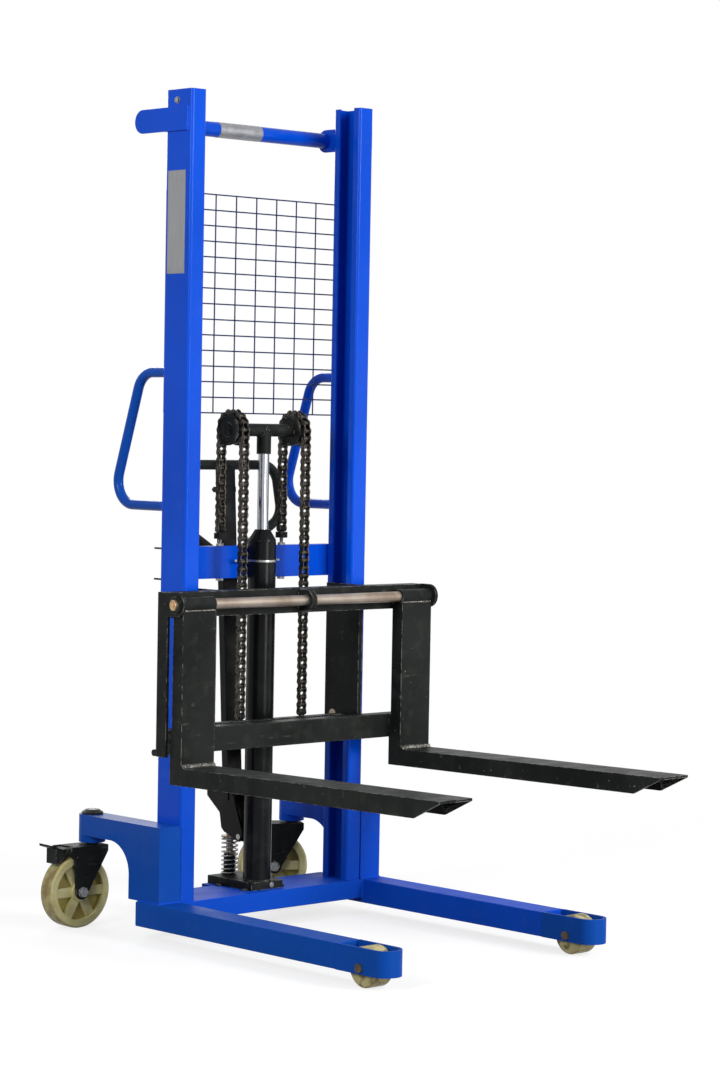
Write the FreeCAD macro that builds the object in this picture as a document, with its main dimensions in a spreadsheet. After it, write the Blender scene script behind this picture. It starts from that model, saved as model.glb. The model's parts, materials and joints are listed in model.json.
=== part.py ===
import FreeCAD, Part
import math
import os

import Sketcher

# Driving sizes in millimetres. The floor is z = 0, the mast's front face y = 0 and its middle x = 0.
# The forks point to -y.
SIZES = {
    # Mast posts, lipped channels that stand on the base
    "mast_width": 600,
    "post_depth": 95,
    "post_flange": 48,
    "post_wall": 5,
    "post_lip": 22,
    "post_corner": 8,
    "post_top": 2050,
    "base_top": 92,
    # Tie tube between two lugs on the posts' outer faces, its drop measured from the posts' top
    "tie_reach": 179,
    "tie_height": -71,
    "tie_radius": 19,
    "tie_wall": 3,
    "lug_radius": 29,
    "lug_thickness": 6,
    "lug_setback": 10,
    # Wire screen behind the posts
    "screen_wire": 3.5,
    "screen_standoff": 27,
    "screen_column": 66.8,
    "screen_row": 38.4,
    "screen_bottom": 1275,
    "screen_shift": 22.6,
    "screen_left_end": 268,
    "screen_right_end": 298.5,
    "screen_clip": 12,
    "screen_clip_place": 8,
    # Push handles
    "handle_place": 283,
    "handle_upper_height": 1371,
    "handle_lower_height": 1046,
    "handle_upper_reach": 194,
    "handle_lower_reach": 303,
    "handle_radius": 12.5,
    "handle_wall": 2.5,
    "handle_bend": 58,
    # Crossbar behind the cylinder, which holds the chain ends
    "crossbar_bottom": 866,
    "crossbar_height": 80,
    "crossbar_depth": 30,
    "crossbar_wall": 4,
    "crossbar_width": 536,
    # Base beam and straddle legs
    "beam_lead": 8,
    "beam_rear": 150,
    "beam_height": 47,
    "beam_wall": 8,
    "tongue_rear": 190,
    "tongue_half_width": 70,
    "leg_width": 76,
    "leg_height": 60,
    "leg_rear": 77,
    "leg_reach": 635,
    "leg_wall": 6,
    # Load rollers in a strap at each leg's front end, with reaches measured from that end
    "strap_thickness": 7,
    "strap_height": 60,
    "strap_reach": 160,
    "load_roller_radius": 46.5,
    "load_roller_width": 54,
    "load_roller_chamfer": 4,
    "load_roller_reach": 78,
    "load_axle_radius": 8,
    "load_axle_head_radius": 10.5,
    "load_axle_head": 5,
    # Caster arms beside the posts
    "arm_width": 66,
    "arm_top": 277,
    "arm_depth": 51,
    "arm_box_depth": 116,
    "arm_round": 75,
    "stem_boss_drop": 17.5,
    "arm_wall": 6,
    "stem_reach": 302,
    "cap_radius": 27,
    "cap_rim": 5,
    "cap_height": 14,
    # Swivel casters
    "caster_radius": 90,
    "caster_width": 46,
    "caster_chamfer": 5,
    "caster_trail": 50,
    "caster_web": 14,
    "caster_rim": 20,
    "caster_hub_radius": 24,
    "caster_hub_width": 50,
    "caster_rib": 24,
    "caster_axle_radius": 7,
    "caster_bolt_radius": 11,
    "caster_bolt_head": 8,
    "caster_gap": 3,
    "fork_cheek": 6,
    "race_radius": 17,
    "race_height": 5.5,
    "crown_thickness": 6,
    "crown_front": 27,
    "crown_rear": 74,
    "cheek_rear": 98,
    "cheek_ear_depth": 16,
    "cheek_foot": 19,
    "pedal_gap": 4,
    "pedal_pivot_reach": 88,
    "pedal_pivot_drop": 7,
    "pedal_pivot_radius": 4,
    "pedal_reach": 145,
    "pedal_rise": 14,
    "pedal_thickness": 6,
    "pedal_width": 40,
    "shoe_front": 95,
    "shoe_reach": 123,
    "shoe_drop": 30,
    "shoe_step": 15,
    # Lift cylinder and ram
    "cylinder_radius": 35,
    "cylinder_bore_radius": 30,
    "cylinder_top": 955,
    "gland_top": 988,
    "gland_radius": 34.5,
    "gland_bevel": 15.8,
    "gland_cone": 26,
    "clamp_height": 5,
    "clamp_thickness": 2.5,
    "clamp_drop": 38.5,
    "clamp_ear": 36,
    "clamp_ear_place": 18,
    "rod_radius": 14,
    "rod_showing": 187,
    "rod_foot": 300,
    "piston_height": 40,
    "socket_radius": 18,
    "socket_height": 43.5,
    "head_depth": 32,
    "head_half_width": 83,
    # Roller chains over two pulleys
    "chain_pitch": 19.05,
    "chain_place": 102,
    "chain_roller_radius": 5.95,
    "chain_pin_radius": 2.97,
    "chain_inner_half_gap": 6.3,
    "chain_plate": 2.4,
    "chain_play": 0.15,
    "chain_inner_half_height": 9,
    "chain_outer_half_height": 7.8,
    "pulley_flange_radius": 39,
    "pulley_flange": 4.5,
    "pulley_hub_radius": 18,
    "pulley_rim": 5,
    "pulley_recess": 1.5,
    "pulley_pin_radius": 10,
    "pulley_pin_head": 3,
    "anchor_eye_radius": 9,
    "anchor_block_half_width": 11,
    "anchor_block_height": 15,
    "anchor_rod_radius": 5,
    "anchor_nut_radius": 9,
    "anchor_nut": 6,
    # Fork carriage
    "carriage_half_width": 420,
    "carriage_front": 86,
    "carriage_rear": 46,
    "carriage_top": 849,
    "carriage_beam_height": 60,
    "carriage_bar_bottom": 464,
    "carriage_bar_height": 59,
    "carriage_wall": 5,
    "end_plate": 8,
    "end_plate_drop": 6,
    "end_plate_set_back": 4,
    "shaft_reach": 113,
    "shaft_height": 821,
    "shaft_radius": 13,
    "shaft_half_length": 429,
    "shaft_lug_radius": 29,
    "center_lug": 16,
    "center_lug_radius": 26,
    "retainer_radius": 20,
    "retainer": 4,
    "roller_plate_place": 236,
    "roller_plate": 12,
    "roller_plate_rear": 76,
    "chain_bar_lead": 6,
    "chain_bar_depth": 26,
    "chain_bar_height": 28,
    "buffer_radius": 8,
    "buffer_width": 12,
    # Mast rollers that run inside the posts
    "mast_roller_radius": 42,
    "mast_roller_width": 31,
    "mast_roller_chamfer": 4,
    "mast_roller_side_gap": 2,
    "mast_roller_upper": 797,
    "mast_roller_lower": 516,
    "mast_pin_radius": 12,
    "mast_pin_head": 4,
    # Forks
    "fork_place": 308,
    "fork_width": 102,
    "fork_wall": 6,
    "shank_depth": 41.7,
    "shank_top": 806,
    "shank_wall": 8,
    "shank_relief": 6,
    "fork_reach": 988,
    "fork_shoulder_reach": 908,
    "heel_bottom": 394,
    "heel_top": 436,
    "heel_weld": 8,
    "tip_rise": 14,
    "shoulder_rise": 11,
    "tip_thickness": 6,
    "sleeve_radius": 18,
    # Pump and tiller
    "block_front": 20,
    "block_rear": 188,
    "block_half_width": 52,
    "block_height": 20,
    "barrel_radius": 15,
    "barrel_height": 53,
    "plunger_radius": 9,
    "plunger_foot": 150,
    "plunger_cap_radius": 22,
    "plunger_cap": 4,
    "spring_radius": 19.6,
    "spring_wire_radius": 2.3,
    "spring_top": 207,
    "pivot_reach": 108,
    "pivot_height": 215,
    "pivot_radius": 7,
    "ear_inner": 5,
    "ear_thickness": 8,
    "ear_half_depth": 12,
    "press_roller_radius": 12,
    "press_roller_width": 28,
    "press_roller_offset": 55.9,
    "press_roller_lift": 20.3,
    "press_pin_radius": 6,
    "press_boss_radius": 10,
    "rocker_half_width": 21,
    "rocker_wall": 6,
    "rocker_round": 13,
    "rocker_height": 150,
    "rocker_flare": 117.5,
    "rocker_flare_height": 99,
    "rocker_flare_edge": 14,
    "rocker_neck": 70.8,
    "rocker_neck_height": 58,
    "tiller_offset": 44,
    "tiller_width": 48,
    "tiller_depth": 20,
    "tiller_wall": 3,
    "tiller_foot": 90,
    "loop_radius": 12.5,
    "loop_wall": 2.5,
    "loop_top": 934,
    "loop_shoulder": 168,
    "loop_spread": 186,
    "loop_waist": 803,
    "loop_foot": 697,
    "loop_foot_half_width": 15,
    "loop_corner": 50,
    "lever_half_width": 29,
    "lever_radius": 4,
    "lever_drop": 62,
    "lever_reach": 16,
    "lever_plate": 4,
    "lever_half_depth": 7,
    "lever_pin_radius": 4,
    # Fasteners
    "bolt_head_radius": 7,
    "bolt_head": 5,
    "tie_bolt_reach": 52,
    "tie_bolt_height": 45,
    "hook_pin_radius": 2.5,
    "hook_pin_length": 28,
    "hook_pin_inset": 7,
    "hook_pin_spread": 75,
    "block_plug_place": 14,
    "foot_bolt_gap": 9,
    "foot_bolt_inset": 16,
    # Clearances
    "running_gap": 0.05,
    "seat_gap": 0.3,
    "overrun": 2,
}

# Counts, angles in degrees and shares of the sizes above
SCREEN_COLUMNS = 8
SCREEN_ROWS = 14
WRAP_LINKS = 7
REAR_LINKS = 13
FRONT_LINKS = 37
SPRING_TURNS = 7.5
WHEEL_RIBS = 6
WHEEL_RIB_TURN = 30
SWIVEL_LEFT = 88
SWIVEL_RIGHT = 60
TILLER_LEAN = 3.3
LEFT = -1
RIGHT = 1

doc = FreeCAD.newDocument("hand_pallet_stacker")
sheet = doc.addObject("Spreadsheet::Sheet", "Sizes")
for row, (alias, length) in enumerate(SIZES.items(), 1):
    sheet.set(f"A{row}", alias)
    sheet.set(f"B{row}", str(length))
    sheet.setAlias(f"B{row}", alias)
doc.recompute()


def number(size):
    """The plain number of a size or of a number."""
    return size.value if isinstance(size, Size) else float(size)


class Size:
    """A length with its number and the sheet expression that gives it."""

    def __init__(self, value, text):
        self.value = value
        self.text = text

    def joined(self, sign, other, value):
        text = other.text if isinstance(other, Size) else repr(other)
        return Size(value, f"({self.text} {sign} {text})")

    def __add__(self, other):
        return self.joined("+", other, self.value + number(other))

    def __sub__(self, other):
        return self.joined("-", other, self.value - number(other))

    def __mul__(self, other):
        return self.joined("*", other, self.value * number(other))

    def __truediv__(self, other):
        return self.joined("/", other, self.value / number(other))

    def __neg__(self):
        return Size(-self.value, f"(-{self.text})")


class Named:
    """The sheet's sizes, one attribute each."""


S = Named()
for alias in SIZES:
    setattr(S, alias, Size(float(sheet.get(alias)), f"Sizes.{alias}"))


# Helpers that make bound objects

def bind(target, name, size):
    """Ties one property of an object to the sheet."""
    if isinstance(size, Size):
        target.setExpression(name, size.text)


AXIS_TURNS = {
    "+X": FreeCAD.Rotation(FreeCAD.Vector(0, 1, 0), 90),
    "-X": FreeCAD.Rotation(FreeCAD.Vector(0, 1, 0), -90),
    "+Y": FreeCAD.Rotation(FreeCAD.Vector(1, 0, 0), -90),
    "+Z": FreeCAD.Rotation(),
}


def place(target, point, turn=None):
    """Puts an object at a point given in sizes, turned first."""
    base = FreeCAD.Vector(*[number(size) for size in point])
    target.Placement = FreeCAD.Placement(base, turn or FreeCAD.Rotation())
    for axis, size in zip("xyz", point):
        bind(target, f"Placement.Base.{axis}", size)
    return target


def box(name, corner, spans):
    """A block from its low corner."""
    block = doc.addObject("Part::Box", name)
    for side, span in zip(("Length", "Width", "Height"), spans):
        bind(block, side, span)
    return place(block, corner)


def rod(name, start, axis, radius, length):
    """A round bar from its start along an axis."""
    bar = doc.addObject("Part::Cylinder", name)
    bind(bar, "Radius", radius)
    bind(bar, "Height", length)
    return place(bar, start, AXIS_TURNS[axis])


def fuse(name, pieces):
    joined = doc.addObject("Part::MultiFuse", name)
    joined.Shapes = pieces
    joined.Refine = True
    return joined


def cut(name, base, tools):
    result = doc.addObject("Part::Cut", name)
    result.Base = base
    result.Tool = tools[0] if len(tools) == 1 else group(f"{name}_tools", tools)
    result.Refine = True
    return result


def group(name, pieces):
    """Separate solids under one name."""
    bundle = doc.addObject("Part::Compound", name)
    bundle.Links = pieces
    return bundle


def tube(name, start, axis, radius, bore, length):
    outer = rod(f"{name}_outer", start, axis, radius, length)
    inner = rod(f"{name}_inner", start, axis, bore, length)
    return cut(name, outer, [inner])


def origin_plane(body, role):
    return next(f for f in body.Origin.OriginFeatures if f.Role == role)


def pin_corner(sketch, kind, index, size):
    """Holds one coordinate of an outline's corner at a size. A sketch's own axes are its items -1 and -2."""
    if number(size) == 0:
        zero_axis = -2 if kind == "DistanceX" else -1
        sketch.addConstraint(Sketcher.Constraint("PointOnObject", index, 1, zero_axis))
        return
    place_in_list = sketch.addConstraint(Sketcher.Constraint(kind, -1, 1, index, 1, number(size)))
    bind(sketch, f"Constraints[{place_in_list}]", size)


def outline(body, name, role, corners, start):
    """A closed outline through corners on one of the body's planes, moved off it by start."""
    sketch = body.newObject("Sketcher::SketchObject", name)
    sketch.AttachmentSupport = [(origin_plane(body, role), "")]
    sketch.MapMode = "FlatFace"
    bind(sketch, "AttachmentOffset.Base.z", start)
    points = [FreeCAD.Vector(number(u), number(v), 0) for u, v in corners]
    count = len(points)
    for index, point in enumerate(points):
        sketch.addGeometry(Part.LineSegment(point, points[(index + 1) % count]), False)
    for index in range(count):
        sketch.addConstraint(Sketcher.Constraint("Coincident", index, 2, (index + 1) % count, 1))
    for index, (u, v) in enumerate(corners):
        pin_corner(sketch, "DistanceX", index, u)
        pin_corner(sketch, "DistanceY", index, v)
    return sketch


def prism(name, role, corners, start, length):
    """A padded outline: role YZ_Plane runs along +x, XY_Plane along +z."""
    body = doc.addObject("PartDesign::Body", name)
    sketch = outline(body, f"{name}_outline", role, corners, start)
    pad = body.newObject("PartDesign::Pad", f"{name}_pad")
    pad.Profile = sketch
    bind(pad, "Length", length)
    body.Tip = pad
    return body


def turned(name, corners):
    """A revolved outline of (radius, height) corners about z."""
    body = doc.addObject("PartDesign::Body", name)
    sketch = outline(body, f"{name}_outline", "XZ_Plane", corners, 0)
    spin = body.newObject("PartDesign::Revolution", f"{name}_spin")
    spin.Profile = sketch
    spin.ReferenceAxis = (sketch, ["V_Axis"])
    spin.Angle = 360
    body.Tip = spin
    return body


def made(name, shape):
    """A piece whose shape is computed, such as a swept tube."""
    piece = doc.addObject("Part::Feature", name)
    piece.Shape = shape
    return piece


def low_x(side, inner, width):
    """Low x of a piece that lies from inner to inner + width on one side of the middle."""
    return inner if side == RIGHT else -(inner + width)


def signed(side, size):
    return size if side == RIGHT else -size


SIDE_NAMES = {LEFT: "left", RIGHT: "right"}
OUTWARD = {LEFT: "-X", RIGHT: "+X"}

half_mast = S.mast_width / 2
post_inner = half_mast - S.post_flange


# Bent tubes and springs

BEND_RUN_SHARE = 0.49


def rounded_wire(points, widest_radius):
    """Straight runs through points with an arc at each inner point, as wide as the runs allow."""
    edges = []
    begin = points[0]
    for before, corner, after in zip(points, points[1:], points[2:]):
        shorter_run = min((before - corner).Length, (after - corner).Length)
        back = (before - corner).normalize()
        ahead = (after - corner).normalize()
        half_angle = back.getAngle(ahead) / 2
        radius = min(widest_radius, shorter_run * BEND_RUN_SHARE * math.tan(half_angle))
        setback = radius / math.tan(half_angle)
        first = corner + back * setback
        last = corner + ahead * setback
        bisector = (back + ahead).normalize()
        middle = corner + bisector * (radius / math.sin(half_angle) - radius)
        edges.append(Part.LineSegment(begin, first).toShape())
        edges.append(Part.Arc(first, middle, last).toShape())
        begin = last
    edges.append(Part.LineSegment(begin, points[-1]).toShape())
    return Part.Wire(edges)


def swept(path, radius):
    """A round bar along a wire."""
    start = path.Edges[0]
    low = start.FirstParameter
    circle = Part.Circle(start.valueAt(low), start.tangentAt(low), radius)
    return path.makePipeShell([Part.Wire(circle.toShape())], True, False)


def biarc(start, start_way, end, end_way):
    """Two arcs that leave start along start_way and reach end along end_way."""
    chord = end - start
    ways = start_way + end_way
    bend = 2 * (1 - start_way.dot(end_way))
    along = chord.dot(ways)
    reach = (-along + math.sqrt(along * along + bend * chord.dot(chord))) / bend
    joint = (start + end + (start_way - end_way) * reach) * 0.5
    edges = []
    for low, knee, high in ((start, start + start_way * reach, joint), (joint, end - end_way * reach, end)):
        middle = (low + high) * 0.5
        half_chord = (high - low).Length / 2
        rise = half_chord * math.tan(math.acos(min(1, half_chord / reach)) / 2)
        edges.append(Part.Arc(low, middle + (knee - middle).normalize() * rise, high).toShape())
    return edges


POINTS_PER_QUARTER = 6


def self_gap(path, quarters, wire_radius):
    """Least gap of a wound wire to itself, on points at least half a turn apart."""
    points = path.discretize(Number=quarters * POINTS_PER_QUARTER)
    apart = 2 * POINTS_PER_QUARTER
    nearest = min(here.distanceToPoint(there)
                  for i, here in enumerate(points) for there in points[i + apart:])
    return nearest - 2 * wire_radius


def coil(radius, wire_radius, low, high, turns):
    """A helical wire about z from low to high, on biarcs of a quarter turn."""
    climb = (high - low - 2 * wire_radius) / turns
    quarters = round(turns * 4)

    def point(quarter):
        angle = quarter * math.pi / 2
        height = low + wire_radius + climb * quarter / 4
        return FreeCAD.Vector(radius * math.cos(angle), radius * math.sin(angle), height)

    def way(quarter):
        angle = quarter * math.pi / 2
        rise = climb / (2 * math.pi)
        return FreeCAD.Vector(-radius * math.sin(angle), radius * math.cos(angle), rise).normalize()

    edges = []
    for quarter in range(quarters):
        edges += biarc(point(quarter), way(quarter), point(quarter + 1), way(quarter + 1))
    path = Part.Wire(edges)
    print("return spring least gap to itself", round(self_gap(path, quarters, wire_radius), 2), "mm")
    return swept(path, wire_radius)


parts = []


def keep(piece, name):
    """Lists a finished sub-part under its node name."""
    piece.Label = name
    parts.append(piece)
    return piece


# Mast posts: lipped channels, open towards each other

def mast_post(side):
    name = f"mast_post_{SIDE_NAMES[side]}"
    outer = signed(side, half_mast)
    web = signed(side, half_mast - S.post_wall)
    lip_back = signed(side, post_inner + S.post_wall)
    lip = signed(side, post_inner)
    rear = S.post_depth
    corners = [
        (outer, 0),
        (outer, rear),
        (lip, rear),
        (lip, rear - S.post_lip),
        (lip_back, rear - S.post_lip),
        (lip_back, rear - S.post_wall),
        (web, rear - S.post_wall),
        (web, S.post_wall),
        (lip_back, S.post_wall),
        (lip_back, S.post_lip),
        (lip, S.post_lip),
        (lip, 0),
    ]
    body = prism(name, "XY_Plane", corners, S.base_top, S.post_top - S.base_top)
    doc.recompute()
    bends = [(number(x), number(y)) for x in (outer, lip) for y in (0, rear)]
    pad = body.Tip
    edges = []
    for index, edge in enumerate(pad.Shape.Edges, 1):
        middle = edge.CenterOfMass
        upright = edge.BoundBox.ZLength > S.post_depth.value
        if upright and any(math.hypot(middle.x - x, middle.y - y) < S.seat_gap.value for x, y in bends):
            edges.append(f"Edge{index}")
    rounding = body.newObject("PartDesign::Fillet", f"{name}_rounding")
    rounding.Base = (pad, edges)
    bind(rounding, "Radius", S.post_corner)
    body.Tip = rounding
    keep(body, name)


for side in (LEFT, RIGHT):
    mast_post(side)


# Tie tube with its lugs
tie_axis = S.post_top + S.tie_height


def tie_lug(side):
    name = f"tie_lug_{SIDE_NAMES[side]}"
    low = low_x(side, half_mast, S.lug_thickness)
    bottom = tie_axis - S.lug_radius
    plate = box(f"{name}_plate", (low, S.lug_setback, bottom),
                (S.lug_thickness, S.tie_reach - S.lug_setback, S.lug_radius * 2))
    end = rod(f"{name}_end", (low, S.tie_reach, tie_axis), "+X", S.lug_radius, S.lug_thickness)
    return fuse(name, [plate, end])


keep(group("tie_lugs", [tie_lug(side) for side in (LEFT, RIGHT)]), "tie_lugs")
keep(tube("tie_tube", (-half_mast, S.tie_reach, tie_axis), "+X", S.tie_radius,
          S.tie_radius - S.tie_wall, S.mast_width), "tie_tube")


# Wire screen: one holed sheet of wire thickness on six stand-off clips

def safety_screen():
    wire = S.screen_wire.value
    front = S.post_depth.value + S.screen_standoff.value
    columns = [S.screen_shift.value + (i - SCREEN_COLUMNS / 2) * S.screen_column.value
               for i in range(SCREEN_COLUMNS)]
    columns = [-S.screen_left_end.value] + columns + [S.screen_right_end.value]
    rows = [S.screen_bottom.value + i * S.screen_row.value for i in range(SCREEN_ROWS + 1)]

    def rectangle(left, right, low, high):
        ring = [(left, low), (right, low), (right, high), (left, high), (left, low)]
        return Part.makePolygon([FreeCAD.Vector(x, front, z) for x, z in ring])

    frame = rectangle(columns[0] - wire / 2, columns[-1] + wire / 2, rows[0] - wire / 2, rows[-1] + wire / 2)
    gaps = [rectangle(left + wire / 2, right - wire / 2, low + wire / 2, high - wire / 2)
            for left, right in zip(columns, columns[1:]) for low, high in zip(rows, rows[1:])]
    face = Part.makeFace([frame] + gaps, "Part::FaceMakerBullseye")
    net = made("screen_net", face.extrude(FreeCAD.Vector(0, wire, 0)))
    pieces = [net]
    for side, end in ((LEFT, S.screen_left_end), (RIGHT, S.screen_right_end)):
        for row in (1, SCREEN_ROWS // 2, SCREEN_ROWS - 1):
            low = low_x(side, end - S.screen_clip_place - S.screen_clip / 2, S.screen_clip)
            height = S.screen_bottom + S.screen_row * row - S.screen_clip / 2
            pieces.append(box(f"screen_clip_{SIDE_NAMES[side]}_{row}", (low, S.post_depth, height),
                              (S.screen_clip, S.screen_standoff, S.screen_clip)))
    keep(group("safety_screen", pieces), "safety_screen")


safety_screen()


# Push handles: bent tubes on the posts' rear faces

def push_handle(side):
    name = f"push_handle_{SIDE_NAMES[side]}"
    x = signed(side, S.handle_place).value
    yz = [
        (S.post_depth, S.handle_upper_height),
        (S.handle_upper_reach, S.handle_upper_height),
        (S.handle_lower_reach, S.handle_lower_height),
        (S.post_depth, S.handle_lower_height),
    ]
    path = rounded_wire([FreeCAD.Vector(x, y.value, z.value) for y, z in yz], S.handle_bend.value)
    outer = swept(path, S.handle_radius.value)
    inner = swept(path, (S.handle_radius - S.handle_wall).value)
    keep(made(name, outer.cut(inner)), name)


for side in (LEFT, RIGHT):
    push_handle(side)


# Crossbar behind the cylinder with holes for the chain rods
lift_reach = S.post_depth - S.cylinder_radius - S.seat_gap
half_wrap = math.pi / WRAP_LINKS / 2
chain_radius = S.chain_pitch / (2 * math.sin(half_wrap))
rear_chain = lift_reach + chain_radius
front_chain = lift_reach - chain_radius
crossbar_top = S.crossbar_bottom + S.crossbar_height


def mid_crossbar():
    outer = box("crossbar_block", (-S.crossbar_width / 2, S.post_depth, S.crossbar_bottom),
                (S.crossbar_width, S.crossbar_depth, S.crossbar_height))
    hollow = box("crossbar_hollow",
                 (-S.crossbar_width / 2, S.post_depth + S.crossbar_wall, S.crossbar_bottom + S.crossbar_wall),
                 (S.crossbar_width, S.crossbar_depth - S.crossbar_wall * 2,
                  S.crossbar_height - S.crossbar_wall * 2))
    holes = [rod(f"crossbar_hole_{SIDE_NAMES[side]}",
                 (signed(side, S.chain_place), rear_chain, S.crossbar_bottom),
                 "+Z", S.anchor_rod_radius + S.seat_gap, S.crossbar_height)
             for side in (LEFT, RIGHT)]
    keep(cut("mid_crossbar", outer, [fuse("crossbar_openings", [hollow] + holes)]), "mid_crossbar")


mid_crossbar()


# Base beam between the legs, an inverted channel with a tongue under the pump
beam_depth = S.beam_lead + S.beam_rear
beam_bottom = S.base_top - S.beam_height
tongue_depth = S.tongue_rear - S.beam_rear
beam_block = box("base_beam_block", (-half_mast, -S.beam_lead, beam_bottom),
                 (S.mast_width, beam_depth, S.beam_height))
beam_hollow = box("base_beam_hollow", (-half_mast, S.beam_wall - S.beam_lead, beam_bottom),
                  (S.mast_width, beam_depth - S.beam_wall * 2, S.beam_height - S.beam_wall))
tongue_block = box("base_tongue_block", (-S.tongue_half_width, S.beam_rear, beam_bottom),
                   (S.tongue_half_width * 2, tongue_depth, S.beam_height))
tongue_hollow = box("base_tongue_hollow", (S.beam_wall - S.tongue_half_width, S.beam_rear, beam_bottom),
                    ((S.tongue_half_width - S.beam_wall) * 2, tongue_depth - S.beam_wall,
                     S.beam_height - S.beam_wall))
keep(cut("base_beam", fuse("base_beam_solid", [beam_block, tongue_block]), [beam_hollow, tongue_hollow]),
     "base_beam")


# Straddle legs: inverted channels with a strap at the front end
roller_reach = S.leg_reach + S.load_roller_reach


def straddle_leg(side):
    name = f"straddle_leg_{SIDE_NAMES[side]}"
    low = low_x(side, half_mast, S.leg_width)
    bottom = S.base_top - S.leg_height
    length = S.leg_reach + S.leg_rear
    block = box(f"{name}_block", (low, -S.leg_reach, bottom), (S.leg_width, length, S.leg_height))
    hollow = box(f"{name}_hollow", (low + S.leg_wall, S.leg_wall - S.leg_reach, bottom),
                 (S.leg_width - S.leg_wall * 2, length - S.leg_wall * 2, S.leg_height - S.leg_wall))
    keep(cut(name, block, [hollow]), name)


def roller_strap(side):
    """A strap that loops round the load roller, with holes for its axle."""
    name = f"roller_strap_{SIDE_NAMES[side]}"
    bottom = S.base_top - S.strap_height
    middle = signed(side, half_mast + S.leg_width / 2)
    round_reach = S.leg_reach + S.strap_reach - S.leg_width / 2
    pieces = {}
    for kind, inset in (("outer", 0), ("inner", S.strap_thickness)):
        width = S.leg_width - inset * 2 if kind == "inner" else S.leg_width
        run = box(f"{name}_{kind}_run", (middle - width / 2, -round_reach, bottom),
                  (width, round_reach - S.leg_reach, S.strap_height))
        end = rod(f"{name}_{kind}_end", (middle, -round_reach, bottom), "+Z", width / 2, S.strap_height)
        pieces[kind] = fuse(f"{name}_{kind}", [run, end])
    hole = rod(f"{name}_hole", (middle - S.leg_width / 2, -roller_reach, S.load_roller_radius), "+X",
               S.load_axle_radius, S.leg_width)
    return cut(name, pieces["outer"], [fuse(f"{name}_openings", [pieces["inner"], hole])])


def load_axle(side):
    name = f"load_axle_{SIDE_NAMES[side]}"
    start = low_x(side, half_mast, S.leg_width)
    bar = rod(f"{name}_bar", (start, -roller_reach, S.load_roller_radius), "+X",
              S.load_axle_radius, S.leg_width)
    heads = [rod(f"{name}_head_{place_name}", (x, -roller_reach, S.load_roller_radius), "+X",
                 S.load_axle_head_radius, S.load_axle_head)
             for place_name, x in (("low", start - S.load_axle_head), ("high", start + S.leg_width))]
    return fuse(name, [bar] + heads)


def load_roller(side):
    name = f"load_roller_{SIDE_NAMES[side]}"
    bore = S.load_axle_radius + S.running_gap
    edge = S.load_roller_chamfer
    corners = [
        (bore, 0),
        (S.load_roller_radius - edge, 0),
        (S.load_roller_radius, edge),
        (S.load_roller_radius, S.load_roller_width - edge),
        (S.load_roller_radius - edge, S.load_roller_width),
        (bore, S.load_roller_width),
    ]
    start = signed(side, half_mast + S.leg_width / 2) - S.load_roller_width / 2
    body = turned(name, corners)
    place(body, (start, -roller_reach, S.load_roller_radius), AXIS_TURNS["+X"])
    keep(body, name)


for side in (LEFT, RIGHT):
    straddle_leg(side)
    load_roller(side)
keep(group("roller_straps", [roller_strap(side) for side in (LEFT, RIGHT)]), "roller_straps")
keep(group("roller_axles", [load_axle(side) for side in (LEFT, RIGHT)]), "roller_axles")


# Caster arms: boxes beside the posts with a rear arm over each caster
arm_bottom = S.arm_top - S.arm_depth
boss_bottom = arm_bottom - S.stem_boss_drop
stem_place = half_mast + S.arm_width / 2


def caster_arm(side):
    name = f"caster_arm_{SIDE_NAMES[side]}"
    low = low_x(side, half_mast, S.arm_width)
    wall = S.arm_wall
    box_height = S.arm_top - S.base_top
    gusset_bottom = arm_bottom - S.arm_round
    upright = box(f"{name}_upright", (low, 0, S.base_top), (S.arm_width, S.arm_box_depth, box_height))
    beam = box(f"{name}_beam", (low, S.arm_box_depth, arm_bottom),
               (S.arm_width, S.stem_reach - S.arm_box_depth, S.arm_depth))
    end = rod(f"{name}_end", (signed(side, stem_place), S.stem_reach, boss_bottom), "+Z",
              S.arm_width / 2, S.arm_depth + S.stem_boss_drop)
    gusset = box(f"{name}_gusset", (low, S.arm_box_depth, gusset_bottom),
                 (S.arm_width, S.arm_round, S.arm_round))
    scoop = rod(f"{name}_scoop", (low, S.arm_box_depth + S.arm_round, gusset_bottom), "+X",
                S.arm_round, S.arm_width)
    hollow = box(f"{name}_hollow", (low + wall, wall, S.base_top),
                 (S.arm_width - wall * 2, S.arm_box_depth - wall * 2, box_height - wall))
    channel = box(f"{name}_channel", (low + wall, S.arm_box_depth - wall * 2, arm_bottom + wall),
                  (S.arm_width - wall * 2, S.stem_reach - S.arm_box_depth, S.arm_depth - wall * 2))
    solid = fuse(f"{name}_solid", [upright, beam, end, cut(f"{name}_web", gusset, [scoop])])
    keep(cut(name, solid, [fuse(f"{name}_inside", [hollow, channel])]), name)


def caster_cap(side):
    name = f"caster_cap_{SIDE_NAMES[side]}"
    crown_share = 0.62
    corners = [
        (0, 0),
        (S.cap_radius, 0),
        (S.cap_radius, S.cap_rim),
        (S.cap_radius * crown_share, S.cap_height - S.cap_rim / 2),
        (0, S.cap_height),
    ]
    return place(turned(name, corners), (signed(side, stem_place), S.stem_reach, S.arm_top))


for side in (LEFT, RIGHT):
    caster_arm(side)
keep(group("caster_caps", [caster_cap(side) for side in (LEFT, RIGHT)]), "caster_caps")


# Swivel casters, built about their stem with the trail to +y and then turned
caster_turns = {
    LEFT: FreeCAD.Rotation(FreeCAD.Vector(0, 0, 1), SWIVEL_LEFT),
    RIGHT: FreeCAD.Rotation(FreeCAD.Vector(0, 0, 1), SWIVEL_RIGHT),
}
crown_top = boss_bottom - S.seat_gap - S.race_height
crown_bottom = crown_top - S.crown_thickness
cheek_inner = S.caster_width / 2 + S.caster_gap
caster_bolt_half = cheek_inner + S.fork_cheek
pedal_pivot_height = crown_top - S.pedal_pivot_drop


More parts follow.
